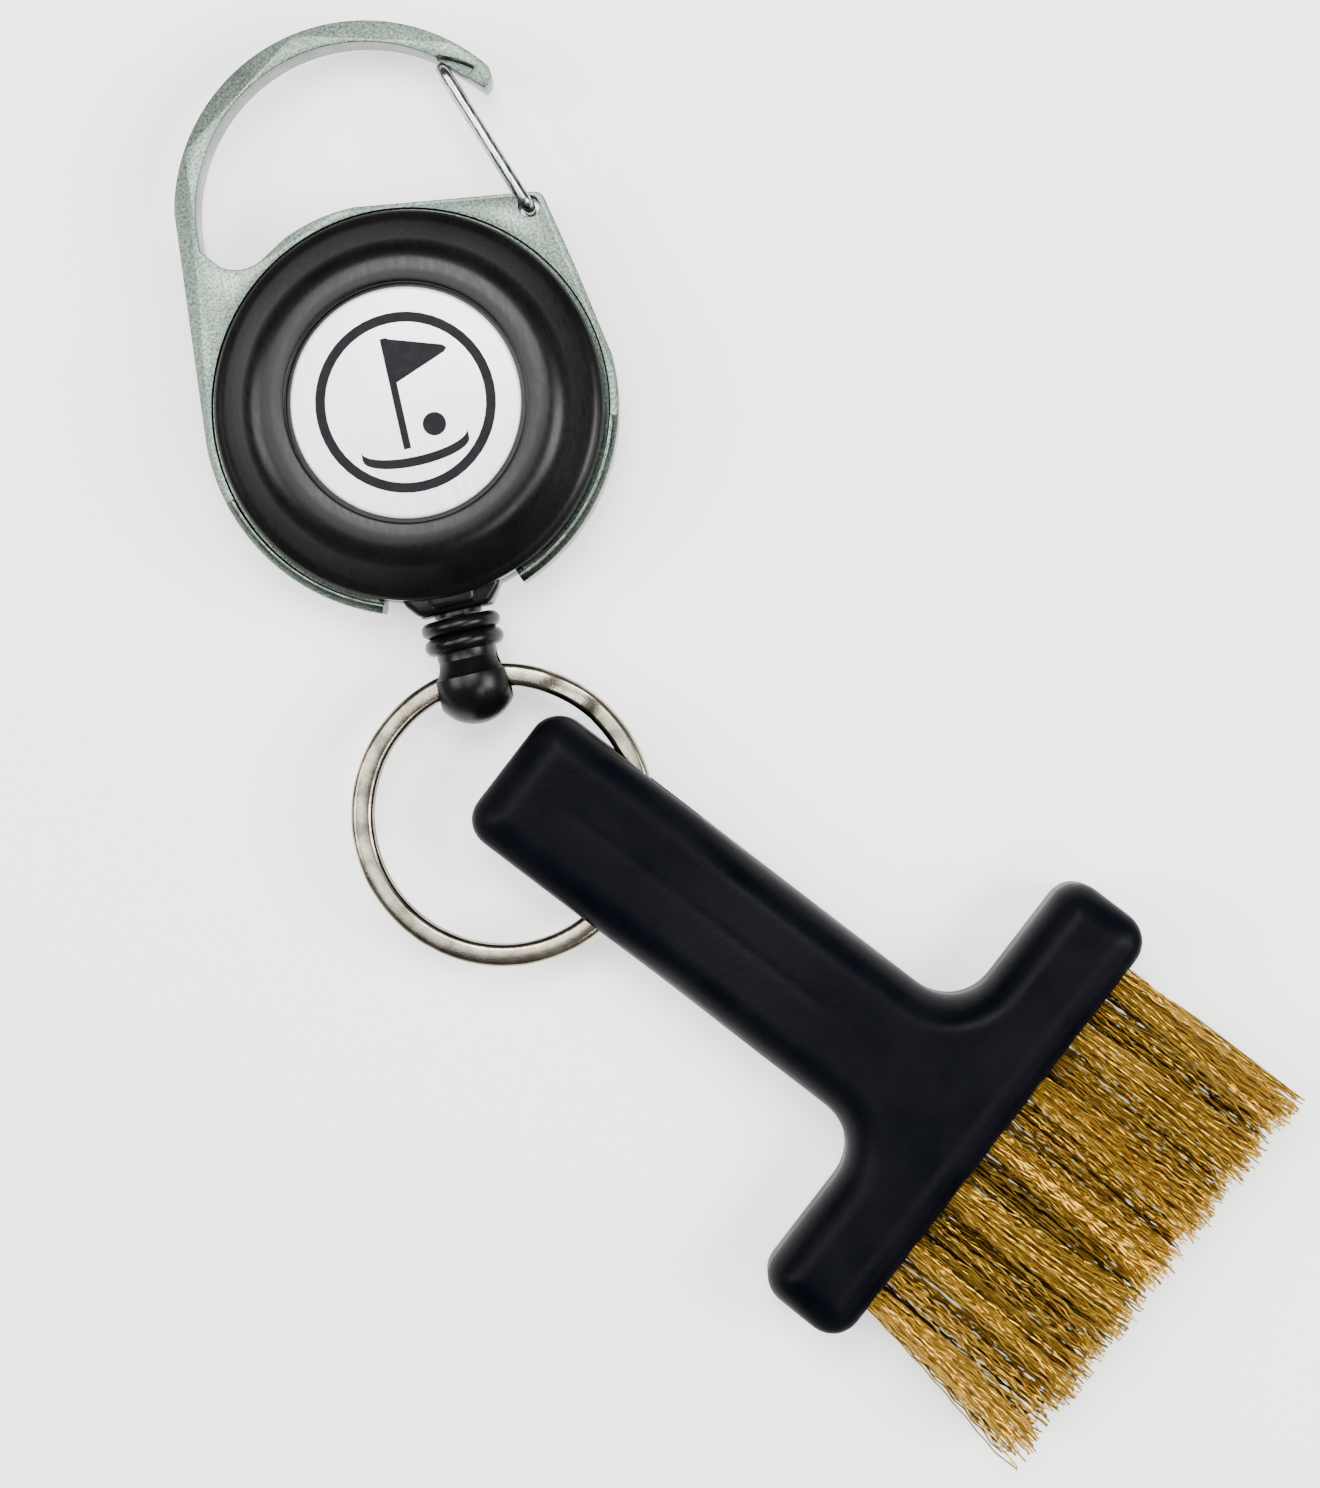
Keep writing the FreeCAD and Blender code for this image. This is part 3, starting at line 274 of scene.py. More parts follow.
def crimped_brass():
    """Hard-drawn brass wire, golden or tarnished wire by wire, with painted shade lower down the
    tufts.
    """
    finish, tree, shader = new_finish("crimped_brass", Metallic=1.0)
    wire = add_node(tree, "NewGeometry").outputs["Random Per Island"]
    place = add_node(tree, "SeparateXYZ", {"Vector": object_place(tree)})
    # Painted shade: the lower a wire lies in the tufts, the darker its colour, in place of the
    # shadow inside the bundle.
    painted_low_shade = spread(tree, place.outputs["Z"], -0.5, 0.0, 1.5 * MM, 8.5 * MM)
    fine = grain(tree, 0.1)
    worn = add_node(tree, "Math", {0: fine.outputs[0], 1: 0.3, 2: wire}, operation="MULTIPLY_ADD")
    # Each wire's own tarnish, plus the painted shade lower down, picks the colour on the ramp below.
    tarnish_and_painted_shade = add_node(tree, "Math", {0: worn.outputs[0], 1: painted_low_shade})
    colour = tint(tree, tarnish_and_painted_shade.outputs[0], "#241002", "#F0C04A", 0.0, 1.05)
    tree.links.new(colour, shader.inputs["Base Color"])
    tree.links.new(spread(tree, wire, 0.34, 0.2), shader.inputs["Roughness"])
    raise_grain(tree, shader, fine.outputs[0], 0.006)
    return finish


def blued_strip_steel():
    """Tempered spring strip inside the reel, dark with a straw to blue bloom."""
    finish, tree, shader = new_finish("blued_strip_steel", Metallic=1.0)
    bloom = grain(tree, 4.0)
    tree.links.new(tint(tree, bloom.outputs[0], "#3D4654", "#84765C"), shader.inputs["Base Color"])
    tree.links.new(spread(tree, bloom.outputs[0], 0.25, 0.4), shader.inputs["Roughness"])
    return finish


ZINC = satin_cast_zinc()
STEEL = drawn_spring_steel()
NICKEL = nickel_plate()
BRASS = crimped_brass()
STRIP = blued_strip_steel()
print("metals:", [metal.name for metal in (ZINC, STEEL, NICKEL, BRASS, STRIP)])

# %% [markdown]
# ## Plastics, label and cord
# The reel's covers and the cord's end fitting are ABS, moulded in a polished tool: deep black,
# glossy, with faint swirls and a few hairlines from use. The brush handle is polypropylene,
# blue-black and half matt, with a fine leathery grain. The label is a silver foil disc under
# clear lacquer, and the cord is braided nylon. One black for all would be simpler, but the
# different sheens are what tells these plastics apart.

# %% Mix the plastics
def gloss_black_abs():
    """Deep black ABS from a polished tool."""
    finish, tree, shader = new_finish("gloss_black_abs", IOR=1.53, Specular_IOR_Level=0.16)
    swirl = grain(tree, 3.5)
    hairline = grain(tree, 0.3, 3.0, (1.0, 0.3, 1.0))
    colour = tint(tree, swirl.outputs[0], "#040404", "#0A0909")
    tree.links.new(colour, shader.inputs["Base Color"])
    tree.links.new(spread(tree, hairline.outputs[0], 0.26, 0.34), shader.inputs["Roughness"])
    waves = raise_grain(tree, shader, swirl.outputs[0], 0.012)
    raise_grain(tree, shader, hairline.outputs[0], 0.0015, waves)
    return finish


def grained_black_polypropylene():
    """Half matt blue-black plastic with a leathery grain."""
    finish, tree, shader = new_finish("grained_black_polypropylene", IOR=1.49,
                                      Specular_IOR_Level=0.04)
    leather = add_node(tree, "TexVoronoi", {"Vector": object_place(tree), "Scale": 1 / (0.45 * MM)})
    cloud = grain(tree, 5.0, 4.0)
    colour = tint(tree, cloud.outputs[0], "#020307", "#06070C")
    tree.links.new(colour, shader.inputs["Base Color"])
    tree.links.new(spread(tree, cloud.outputs[0], 0.34, 0.46), shader.inputs["Roughness"])
    soft = raise_grain(tree, shader, cloud.outputs[0], 0.05)
    raise_grain(tree, shader, leather.outputs["Distance"], 0.008, soft)
    return finish


def grey_acetal():
    """The spool's plain slippery grey plastic."""
    finish, tree, shader = new_finish("grey_acetal", IOR=1.48)
    cloud = grain(tree, 2.0)
    tree.links.new(tint(tree, cloud.outputs[0], "#84878A", "#9A9DA0"), shader.inputs["Base Color"])
    tree.links.new(spread(tree, cloud.outputs[0], 0.35, 0.5), shader.inputs["Roughness"])
    return finish


def lacquered_foil():
    """Silver foil under a clear coat, pale enough to read as white."""
    finish, tree, shader = new_finish("lacquered_foil", Metallic=0.12, Coat_Weight=0.6,
                                      Coat_Roughness=0.12)
    brushed = grain(tree, 0.5, 2.0, (1.0, 0.05, 1.0))
    tree.links.new(tint(tree, brushed.outputs[0], "#DEE4E4", "#EDF1F1"), shader.inputs["Base Color"])
    tree.links.new(spread(tree, brushed.outputs[0], 0.3, 0.4), shader.inputs["Roughness"])
    raise_grain(tree, shader, brushed.outputs[0], 0.002)
    return finish


def screen_ink():
    """Black screen-printed ink, slightly matt and a little uneven."""
    finish, tree, shader = new_finish("screen_ink", IOR=1.5, Specular_IOR_Level=0.15)
    cloud = grain(tree, 0.6)
    tree.links.new(tint(tree, cloud.outputs[0], "#030308", "#08080F"), shader.inputs["Base Color"])
    tree.links.new(spread(tree, cloud.outputs[0], 0.5, 0.65), shader.inputs["Roughness"])
    return finish


def braided_nylon():
    """Braided cord: strands cross at 45 degrees, each about 0.25 mm wide."""
    finish, tree, shader = new_finish("braided_nylon", Roughness=0.7, Sheen_Weight=0.3)
    strands = []
    for lean in (45, -45):
        place = add_node(tree, "TexCoord")
        turned = add_node(tree, "Mapping", {"Vector": place.outputs["Object"],
                                            "Rotation": Euler((0, 0, math.radians(lean)))})
        strands.append(add_node(tree, "TexWave", {"Vector": turned.outputs[0],
                                                  "Scale": 0.3 / (0.25 * MM)}))
    braid = add_node(tree, "Math", {0: strands[0].outputs["Fac"], 1: strands[1].outputs["Fac"]},
                     operation="MAXIMUM")
    tree.links.new(tint(tree, braid.outputs[0], "#08080A", "#1D1D21"), shader.inputs["Base Color"])
    raise_grain(tree, shader, braid.outputs[0], 0.04)
    return finish


GLOSS = gloss_black_abs()
GRIP = grained_black_polypropylene()
ACETAL = grey_acetal()
FOIL = lacquered_foil()
INK = screen_ink()
NYLON = braided_nylon()
print("plastics:", [plastic.name for plastic in (GLOSS, GRIP, ACETAL, FOIL, INK, NYLON)])

# %% [markdown]
# ## Finishes for the hidden works
# The spool, its wound cord, the mainspring, the post and the screw keep their exact CAD shapes,
# since only a cut-open reel would show them. They could be left grey, but each gets its own
# finish all the same, so the reel can be opened and looked into.

# %% Finish the carried-over solids
CARRIED = {
    "spool": ACETAL, "mainspring": STRIP, "cord_coil": NYLON, "cord_lead": NYLON,
    "cord_knot": NYLON, "centre_post": STEEL, "cover_screw": STEEL, "outlet_guide": GLOSS,
    "anchors_front_row": BRASS, "anchors_middle_row": BRASS, "anchors_back_row": BRASS,
}
for node, finish in CARRIED.items():
    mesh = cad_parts[node].data
    mesh.materials.clear()
    mesh.materials.append(finish)
print("carried over:", len(CARRIED), "nodes")

# %% [markdown]
# ## Rounded copies
# A cast or moulded edge is never sharp: it is rounded by a few tenths of a millimetre, and that
# small round catches the light. CAD solids come in with sharp edges. One way is to model each
# piece again. The other, used here, is to copy the solid's mesh, join its flat triangles into
# whole faces, and bevel the edges that are left.

# %% Copy a solid and round its edges
SAME_POINT = 0.5e-6
FLAT_ANGLE = math.radians(0.6)
EDGE_ANGLE = math.radians(25)


def finished_mesh(piece):
    """The piece's mesh with its modifiers worked in."""
    bpy.context.view_layer.update()
    graph = bpy.context.evaluated_depsgraph_get()
    mesh = bpy.data.meshes.new_from_object(piece.evaluated_get(graph))
    piece.modifiers.clear()
    old = piece.data
    piece.data = mesh
    bpy.data.meshes.remove(old)
    return mesh


def shade(mesh, angle=40):
    """Smooth shading, with creases kept at edges sharper than angle."""
    mesh.polygons.foreach_set("use_smooth", [True] * len(mesh.polygons))
    mesh.set_sharp_from_angle(angle=math.radians(angle))


def place_piece(piece, body, slot, finish, *nodes):
    """Give a finished piece its material and body, and hide the nodes it stands for; slot is not
    used.
    """
    piece.data.materials.clear()
    piece.data.materials.append(finish)
    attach(piece, body)
    if nodes:
        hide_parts(*nodes)
    print(f"{piece.name}: {len(piece.data.polygons)} faces")
    return piece


def rounded_copy(node, name, radius):
    """A copy of a CAD solid, with its edges rounded to a radius in mm."""
    shape = bmesh.new()
    shape.from_mesh(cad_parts[node].data)
    bmesh.ops.remove_doubles(shape, verts=shape.verts, dist=SAME_POINT)
    bmesh.ops.dissolve_limit(shape, angle_limit=FLAT_ANGLE, verts=shape.verts, edges=shape.edges)
    weights = shape.edges.layers.float.new("bevel_weight_edge")
    for edge in shape.edges:
        if len(edge.link_faces) == 2 and edge.calc_face_angle(0) > EDGE_ANGLE:
            edge[weights] = 1.0
    mesh = bpy.data.meshes.new(name)
    shape.to_mesh(mesh)
    shape.free()
    piece = new_object(name, mesh)
    bevel = piece.modifiers.new("round", "BEVEL")
    bevel.limit_method = "WEIGHT"
    bevel.width = radius * MM
    bevel.segments = 3
    bevel.use_clamp_overlap = True
    bevel.miter_outer = "MITER_ARC"
    shade(finished_mesh(piece))
    return piece


print("edges sharper than", round(math.degrees(EDGE_ANGLE)), "degrees are rounded")

# %% Round the hook, the back cover, the fitting and the gate
hook = rounded_copy("carabiner_frame", "cast_hook", 0.3)
place_piece(hook, "reel", "satin_zinc", ZINC, "carabiner_frame")
back_shell = rounded_copy("back_cover", "back_shell", 0.25)
place_piece(back_shell, "reel", "black_gloss", GLOSS, "back_cover")
fitting = rounded_copy("end_fitting", "ribbed_end_fitting", 0.15)
place_piece(fitting, "fitting", "black_gloss", GLOSS, "end_fitting")
gate = rounded_copy("gate_wire", "wire_gate", 0.12)
place_piece(gate, "gate", "spring_wire", STEEL, "gate_wire")

# %% [markdown]
# ## The front cover
# The front cover is a shallow dome with a broad rounded ridge round the label. A bevel on its CAD
# solid would leave flat cones that show as hard bands in the gloss. So its profile is drawn again
# as a smooth curve through a few heights and turned on a lathe, as its mould was. The outlet
# collar is a separate block with its edges bevelled.

# %% Turn the front cover
LATHE_STEPS = 192


def lathe(name, profile):
    """Turn a closed profile of (radius, height) points in mm round the z axis."""
    count = len(profile)
    vertices, faces = [], []
    for i in range(LATHE_STEPS):
        angle = 2 * math.pi * i / LATHE_STEPS
        vertices += [(r * MM * math.cos(angle), r * MM * math.sin(angle), z * MM)
                     for r, z in profile]
        j = (i + 1) % LATHE_STEPS
        for k in range(count):
            n = (k + 1) % count
            faces.append((i * count + k, j * count + k, j * count + n, i * count + n))
    return closed_piece(name, vertices, faces)


def closed_piece(name, vertices, faces):
    """A smooth-shaded piece from points and faces, with every face turned outward."""
    shape = bmesh.new()
    points = [shape.verts.new(vertex) for vertex in vertices]
    for face in faces:
        shape.faces.new([points[i] for i in face])
    bmesh.ops.recalc_face_normals(shape, faces=shape.faces)
    mesh = bpy.data.meshes.new(name)
    shape.to_mesh(mesh)
    shape.free()
    shade(mesh)
    return new_object(name, mesh)


def smooth_line(points, steps=6):
    """A smooth curve through points, with steps places on each run."""
    line = []
    for i in range(len(points) - 1):
        before, start, end, after = (Vector(points[min(max(k, 0), len(points) - 1)])
                                     for k in (i - 1, i, i + 1, i + 2))
        for step in range(steps):
            t = step / steps
            place = 0.5 * (2 * start + (end - before) * t
                           + (2 * before - 5 * start + 4 * end - after) * t ** 2
                           + (3 * start - before - 3 * end + after) * t ** 3)
            line.append(tuple(place))
    return line + [tuple(points[-1])]


_, cover_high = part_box("front_cover")
label_low, label_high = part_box("label_disc")
LABEL_RADIUS = label_high.x / MM
LABEL_BASE = label_low.z / MM
LABEL_TOP = label_high.z / MM
COVER_RADIUS = cover_high.x / MM
COVER_TOP = cover_high.z / MM
SPLIT = 5.85
LABEL_GAP = LABEL_RADIUS + 0.3
BORE = 2.0
WALL_INNER = 14.3

# Both lists hold (radius, height) in mm: the crown from the split in to the label, and the inside
# from the label's seat back out to the wall.
crown = smooth_line([
    (COVER_RADIUS, SPLIT), (COVER_RADIUS, 8.2), (15.78, 8.62), (15.45, 8.88), (15.0, 9.15),
    (14.3, 9.75), (13.7, 10.3), (13.1, 10.85), (12.5, 11.25), (11.8, 11.5),
    (11.0, COVER_TOP - 0.03), (10.4, 11.58), (LABEL_GAP + 0.15, 11.5), (LABEL_GAP, 11.3)])
inside = [(LABEL_GAP, LABEL_BASE - 0.02), (BORE, LABEL_BASE - 0.02), (BORE, 9.5), (11.0, 9.4),
          (11.9, 6.5), (WALL_INNER, 6.4), (WALL_INNER, SPLIT)]
front_shell = lathe("front_shell", crown + inside)
place_piece(front_shell, "reel", "black_gloss", GLOSS, "front_cover")

# %% Add the outlet collar
COLLAR = ((4.2, -14.6), (4.1, -15.7), (2.95, -17.08),
          (-2.95, -17.08), (-4.1, -15.7), (-4.2, -14.6))
COLLAR_RIB = ((2.2, -14.2), (1.9, -16.7), (-1.9, -16.7), (-2.2, -14.2))


def block(name, outline, low, high, radius):
    """A prism on an outline in mm, from low to high, with rounded edges."""
    count = len(outline)
    vertices = [(x * MM, y * MM, z * MM) for z in (low, high) for x, y in outline]
    faces = [tuple(range(count)), tuple(range(count, 2 * count))]
    faces += [(i, (i + 1) % count, count + (i + 1) % count, count + i) for i in range(count)]
    piece = closed_piece(name, vertices, faces)
    bevel = piece.modifiers.new("round", "BEVEL")
    bevel.limit_method = "ANGLE"
    bevel.width = radius * MM
    bevel.segments = 4
    shade(finished_mesh(piece), 60)
    return piece


collar = block("outlet_collar", COLLAR, low=4.9, high=7.7, radius=0.75)
place_piece(collar, "reel", "black_gloss", GLOSS)
collar_rib = block("outlet_collar_rib", COLLAR_RIB, low=5.5, high=8.15, radius=0.5)
place_piece(collar_rib, "reel", "black_gloss", GLOSS)

# %% [markdown]
# ## The label and its mark
# The label is a foil disc with a softly rolled rim. The lathe makes it too. The printed mark is
# generic, a flag on a green with a ball. It could be a mask in the foil's finish, but here it is
# cut as thin flat shapes that lie on the foil, because print has crisp edges at any distance.

# %% Turn the label and print its mark
ROLL = 0.3
ROLL_STEPS = 6
NEAR_AXIS = 0.01
INK_THICK = 0.03

rim_profile = [(NEAR_AXIS, LABEL_BASE), (LABEL_RADIUS, LABEL_BASE)]
for step in range(ROLL_STEPS + 1):
    angle = math.radians(90 / ROLL_STEPS * step)
    rim_profile.append((LABEL_RADIUS - ROLL + ROLL * math.cos(angle),
                        LABEL_TOP - ROLL + ROLL * math.sin(angle)))
rim_profile.append((NEAR_AXIS, LABEL_TOP))
label = lathe("foil_label", rim_profile)
place_piece(label, "reel", "label_silver", FOIL, "label_disc")


def printed_shape(outlines, name):
    """Flat ink shapes, each an outline of (x, y) points in mm, on top of the label."""
    shape = bmesh.new()
    for outline in outlines:
        low = [shape.verts.new((x * MM, y * MM, LABEL_TOP * MM)) for x, y in outline]
        high = [shape.verts.new((x * MM, y * MM, (LABEL_TOP + INK_THICK) * MM)) for x, y in outline]
        shape.faces.new(low[::-1])
        shape.faces.new(high)
        for i in range(len(outline)):
            j = (i + 1) % len(outline)
            shape.faces.new((low[i], low[j], high[j], high[i]))
    bmesh.ops.recalc_face_normals(shape, faces=shape.faces)
    mesh = bpy.data.meshes.new(name)
    shape.to_mesh(mesh)
    shape.free()
    return new_object(name, mesh)


def ring_arcs(inner, outer, pieces=48):
    """A full ring as short ink blocks that touch."""
    arcs = []
    for i in range(pieces):
        a, b = (2 * math.pi * k / pieces for k in (i, i + 1))
        corners = ((outer, a), (outer, b), (inner, b), (inner, a))
        arcs.append([(radius * math.cos(angle), radius * math.sin(angle))
                     for radius, angle in corners])
    return arcs


def circle(x, y, radius, points=48):
    """The outline of a disc, as (x, y) points in mm."""
    turns = [2 * math.pi * i / points for i in range(points)]
    return [(x + radius * math.cos(turn), y + radius * math.sin(turn)) for turn in turns]


flag_pole = [(-0.95, -3.7), (-0.35, -3.7), (-0.35, 5.4), (-0.95, 5.4)]
pennant = [(-0.35, 5.3), (3.9, 3.9), (4.2, 3.6), (3.9, 3.3), (-0.35, 1.7)]
green_edge = [(4.4 * math.cos(math.radians(a)), -3.9 + 1.3 * math.sin(math.radians(a)))
              for a in range(180, 361, 10)]
green = green_edge + [(x, y + 0.75) for x, y in reversed(green_edge)]
ball = circle(1.9, -2.2, 0.95)
outlines = [flag_pole, pennant, green, ball] + ring_arcs(6.5, 7.3)
mark = printed_shape(outlines, "printed_golf_mark")
place_piece(mark, "reel", "black_gloss", INK)

# %% [markdown]
# ## The split ring
# A split ring is one length of rolled wire wound twice round, so the turns lie flat on each
# other. Where the wire steps from the lower turn to the upper one there is a short jog, with a
# cut end on each side of it. A torus would miss that. Here a rounded section is swept along the
# wire's real path, two turns less a small gap.

# %% Wind the split ring
ring_low, ring_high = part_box("split_ring")
RING_CENTRE = (ring_low + ring_high) / (2 * MM)
RING_OUTER = (ring_high.x - ring_low.x) / (2 * MM)
RING_WIDTH = 1.85
WIRE_THICK = (ring_high.z - ring_low.z) / (2 * MM)
JOG_START, JOG_END = 35.0, 62.0
END_GAP = 1.5
WIRE_ROUND = 0.5
TURN_FIT, TURN_PITCH = 0.98, 0.985
RING_STEPS = 360


def wire_section(width, thick, corner, steps=4):
    """A rounded rectangle, as (outward, upward) points in mm."""
    points = []
    for sx, sy, start in ((1, 1, 0), (-1, 1, 90), (-1, -1, 180), (1, -1, 270)):
        for i in range(steps + 1):
            angle = math.radians(start + 90 * i / steps)
            points.append((sx * (width / 2 - corner) + corner * math.cos(angle),
                           sy * (thick / 2 - corner) + corner * math.sin(angle)))
    return points


def sweep(name, stations, section):
    """Join copies of a section at stations of (place, outward, upward), all in mm."""
    vertices, faces, count = [], [], len(section)
    for place, outward, upward in stations:
        vertices += [(place + outward * x + upward * y) * MM for x, y in section]
    last = len(stations) - 1
    for i in range(last):
        for k in range(count):
            n = (k + 1) % count
            faces.append((i * count + k, i * count + n, (i + 1) * count + n, (i + 1) * count + k))
    faces.append(tuple(range(count))[::-1])
    faces.append(tuple(last * count + k for k in range(count)))
    mesh = bpy.data.meshes.new(name)
    mesh.from_pydata(vertices, [], faces)
    shape = bmesh.new()
    shape.from_mesh(mesh)
    bmesh.ops.recalc_face_normals(shape, faces=shape.faces)
    shape.to_mesh(mesh)
    shape.free()
    shade(mesh)
    return new_object(name, mesh)


ring_stations = []
middle_radius = RING_OUTER - RING_WIDTH / 2
first, final = JOG_END + END_GAP, JOG_START + 720 - END_GAP
for step in range(RING_STEPS + 1):
    angle = first + (final - first) * step / RING_STEPS
    rise = min(max((angle - (JOG_START + 360)) / (JOG_END - JOG_START), 0.0), 1.0)
    rise = rise * rise * (3 - 2 * rise)
    outward = Vector((math.cos(math.radians(angle)), math.sin(math.radians(angle)), 0))
    height = (rise - 0.5) * WIRE_THICK * TURN_PITCH
    ring_stations.append((RING_CENTRE + outward * middle_radius + Vector((0, 0, height)),
                          outward, Vector((0, 0, 1))))
ring_section = wire_section(RING_WIDTH, WIRE_THICK * TURN_FIT, WIRE_ROUND)
split_ring = sweep("wound_split_ring", ring_stations, ring_section)
place_piece(split_ring, "ring", "nickel", NICKEL, "split_ring")

# %% [markdown]
# ## The brush handle
# The handle is one thick moulding with softly rounded shoulders and a shallow thumb dip. Soft
# moulded shapes can be made with subdivision, but this one has twenty drilled holes and a slot.
# So its CAD copy is remeshed to small even faces, each point is moved by how far it lies inside
# the outline, and the whole is smoothed a little. Points near the middle height stay, which keeps
# the ring's slot open. A faint sink line runs along the grip, where the thick plastic shrank.

# %% Draw the handle's outline
BRUSH_ANGLE = math.radians(-50.1)
BRUSH_START = np.array(Vector((1.301, -30.231, 0)))
BRUSH_ALONG = np.array(Vector((math.cos(BRUSH_ANGLE), math.sin(BRUSH_ANGLE), 0)))
BRUSH_ACROSS = np.array(Vector((-math.sin(BRUSH_ANGLE), math.cos(BRUSH_ANGLE), 0)))
GRIP_HALF, GRIP_LENGTH, BAR_HALF, BAR_FACE = 6.25, 41.9, 21.15, 50.35
HANDLE_MIDDLE = 5.0


def rounded_outline(corners, steps=8):
    """Points round a polygon of (x, y, corner radius) with square corners, each one rounded."""
    points, total = [], len(corners)
    for i, (x, y, radius) in enumerate(corners):
        here = Vector((x, y))
        back = (Vector(corners[i - 1][:2]) - here).normalized()
        ahead = (Vector(corners[(i + 1) % total][:2]) - here).normalized()
        middle = here + (back + ahead) * radius
        for step in range(steps + 1):
            turn = math.pi / 2 * step / steps
            points.append(middle - ahead * radius * math.cos(turn) - back * radius * math.sin(turn))
    return np.array([tuple(point) for point in points])


HANDLE_OUTLINE = rounded_outline([
    (0, -GRIP_HALF, 2.4), (GRIP_LENGTH, -GRIP_HALF, 4.2), (GRIP_LENGTH, -BAR_HALF, 2.4),
    (BAR_FACE, -BAR_HALF, 2.6), (BAR_FACE, BAR_HALF, 2.6), (GRIP_LENGTH, BAR_HALF, 2.4),
    (GRIP_LENGTH, GRIP_HALF, 4.2), (0, GRIP_HALF, 2.4)])


def inward(points):
    """How far each (x, y) point lies inside the handle's outline, and 0 outside it."""
    starts, ends = HANDLE_OUTLINE, np.roll(HANDLE_OUTLINE, -1, axis=0)
    best = np.full(len(points), np.inf)
    within = np.zeros(len(points), bool)
    for start, end in zip(starts, ends):
        run = end - start
        length = max(run @ run, 1e-12)
        t = np.clip(((points - start) @ run) / length, 0, 1)
        best = np.minimum(best, np.linalg.norm(points - start - t[:, None] * run, axis=1))
        between = (start[1] > points[:, 1]) != (end[1] > points[:, 1])
        climb = run[1] if abs(run[1]) > 1e-9 else 1e-9
        crossing = start[0] + (points[:, 1] - start[1]) * run[0] / climb
        within ^= between & (points[:, 0] < crossing)
    return np.where(within, best, 0.0)


print("outline:", len(HANDLE_OUTLINE), "points")

# %% Mould the handle
VOXEL = 0.3
CAD_BEVEL = 1.3
SHOULDER, ROUNDNESS = 2.8, 0.85
FALL_PLACES = (15.5, 21.0, 41.0, 49.5)
FALLS = (2.5, 3.6, 3.6, 1.55)
KEPT_SHARE = 0.8
DIP_PLACE, DIP_DEPTH, DIP_HALF = 17.5, 0.9, 16.0
SEAM_ACROSS, SEAM_HALF, SEAM_DEPTH = 0.1, 0.22, 0.12
SEAM_START, SEAM_END, SEAM_FADE = 5, 34, 3
SEAM_LOWEST = 3.0
RELAX_SHARE, RELAX_TIMES = 0.5, 4
CUT_HALF = 10.0
CUT_RADIUS = (CUT_HALF ** 2 + DIP_DEPTH ** 2) / (2 * DIP_DEPTH)

handle = new_object("moulded_handle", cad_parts["brush_handle"].data.copy())
remesh = handle.modifiers.new("even_faces", "REMESH")
remesh.mode = "VOXEL"
remesh.voxel_size = VOXEL * MM
mesh = finished_mesh(handle)
places = np.empty(len(mesh.vertices) * 3)
mesh.vertices.foreach_get("co", places)
places = places.reshape(-1, 3) / MM
local = places - BRUSH_START
along = local @ BRUSH_ALONG
across = local @ BRUSH_ACROSS
depth = inward(np.column_stack([along, across]))
height = places[:, 2] - HANDLE_MIDDLE
off_dip = np.abs(along - DIP_PLACE)
cut_dip = DIP_DEPTH - CUT_RADIUS + np.sqrt(CUT_RADIUS ** 2 - np.minimum(off_dip, CUT_HALF) ** 2)
soft_dip = DIP_DEPTH * (0.5 + 0.5 * np.cos(math.pi * np.minimum(off_dip / DIP_HALF, 1)))
cut_dip = np.where(height > 0, np.maximum(cut_dip, 0), 0)
soft_dip = np.where(height > 0, soft_dip, 0)
old_half = np.minimum(HANDLE_MIDDLE - cut_dip, HANDLE_MIDDLE - CAD_BEVEL + depth)
fall = np.interp(along, FALL_PLACES, FALLS)
edge = np.minimum(np.clip(1 - depth / SHOULDER, 0, 1), 0.999)
new_half = HANDLE_MIDDLE - soft_dip - fall * (1 - np.sqrt(1 - edge ** 2)) ** ROUNDNESS
keep = KEPT_SHARE * new_half
beyond = np.maximum(np.abs(height) - keep, 0) * (new_half - keep) / (old_half - keep)
height = np.sign(height) * (np.minimum(np.abs(height), keep) + beyond)
seam = np.exp(-((across - SEAM_ACROSS) / SEAM_HALF) ** 2)
seam = seam * np.clip((along - SEAM_START) / SEAM_FADE, 0, 1)
seam = seam * np.clip((SEAM_END - along) / SEAM_FADE, 0, 1)
height = height - np.where(height > SEAM_LOWEST, SEAM_DEPTH * seam, 0)
places[:, 2] = height + HANDLE_MIDDLE
mesh.vertices.foreach_set("co", (places * MM).ravel())
relax = handle.modifiers.new("relax", "SMOOTH")
relax.factor = RELAX_SHARE
relax.iterations = RELAX_TIMES
mesh = finished_mesh(handle)
shade(mesh, 60)
place_piece(handle, "brush", "black_matte", GRIP, "brush_handle")

# %% [markdown]
# ## The brass bristles
# Each tuft is a bundle of crimped brass wires, folded over an anchor and driven into a hole. The
# crimp keeps the wires apart, so a tuft is springy and looks full. A hair system could draw
# them, but real tubes export and throw real shadows. Every wire is a wavy path with a square
# section, and all the wires of a row are made in one numpy step. The two tufts at one end are
# bent outward and worn shorter, as a used brush gets.

# %% Grow the tufts
WIRE = 0.07
CRIMP = 0.12
CRIMP_LENGTH = 2.5
TUFT_ROOT, TUFT_REACH, TUFT_TIP = 1.2, 17.9, 1.85
TUFT_PITCH, ROW_PITCH = 5.45, 2.35
UNEVEN, WORN = 1.5, 0.8
STRAY, STRAY_LIMIT, TUFT_STRAY = 0.5, 2.4, 0.3
FAN_POWER, BEND_POWER, ROW_SQUASH = 0.6, 1.4, 0.85
CRIMP_RANGE, PITCH_RANGE = (0.6, 1.2), (0.85, 1.15)
BRUSH_LEFT, BRUSH_RIGHT = -20.1, 17.85
BRUSH_LOW, BRUSH_HIGH = 0.25, 9.75
WIRES, POINTS = 72, 44
# Each row's name, its side, how many tufts it has, and how wide they burst out of their holes.
ROWS = (("front", 1, 7, 1.05), ("middle", 0, 6, 1.15), ("back", -1, 7, 1.75))


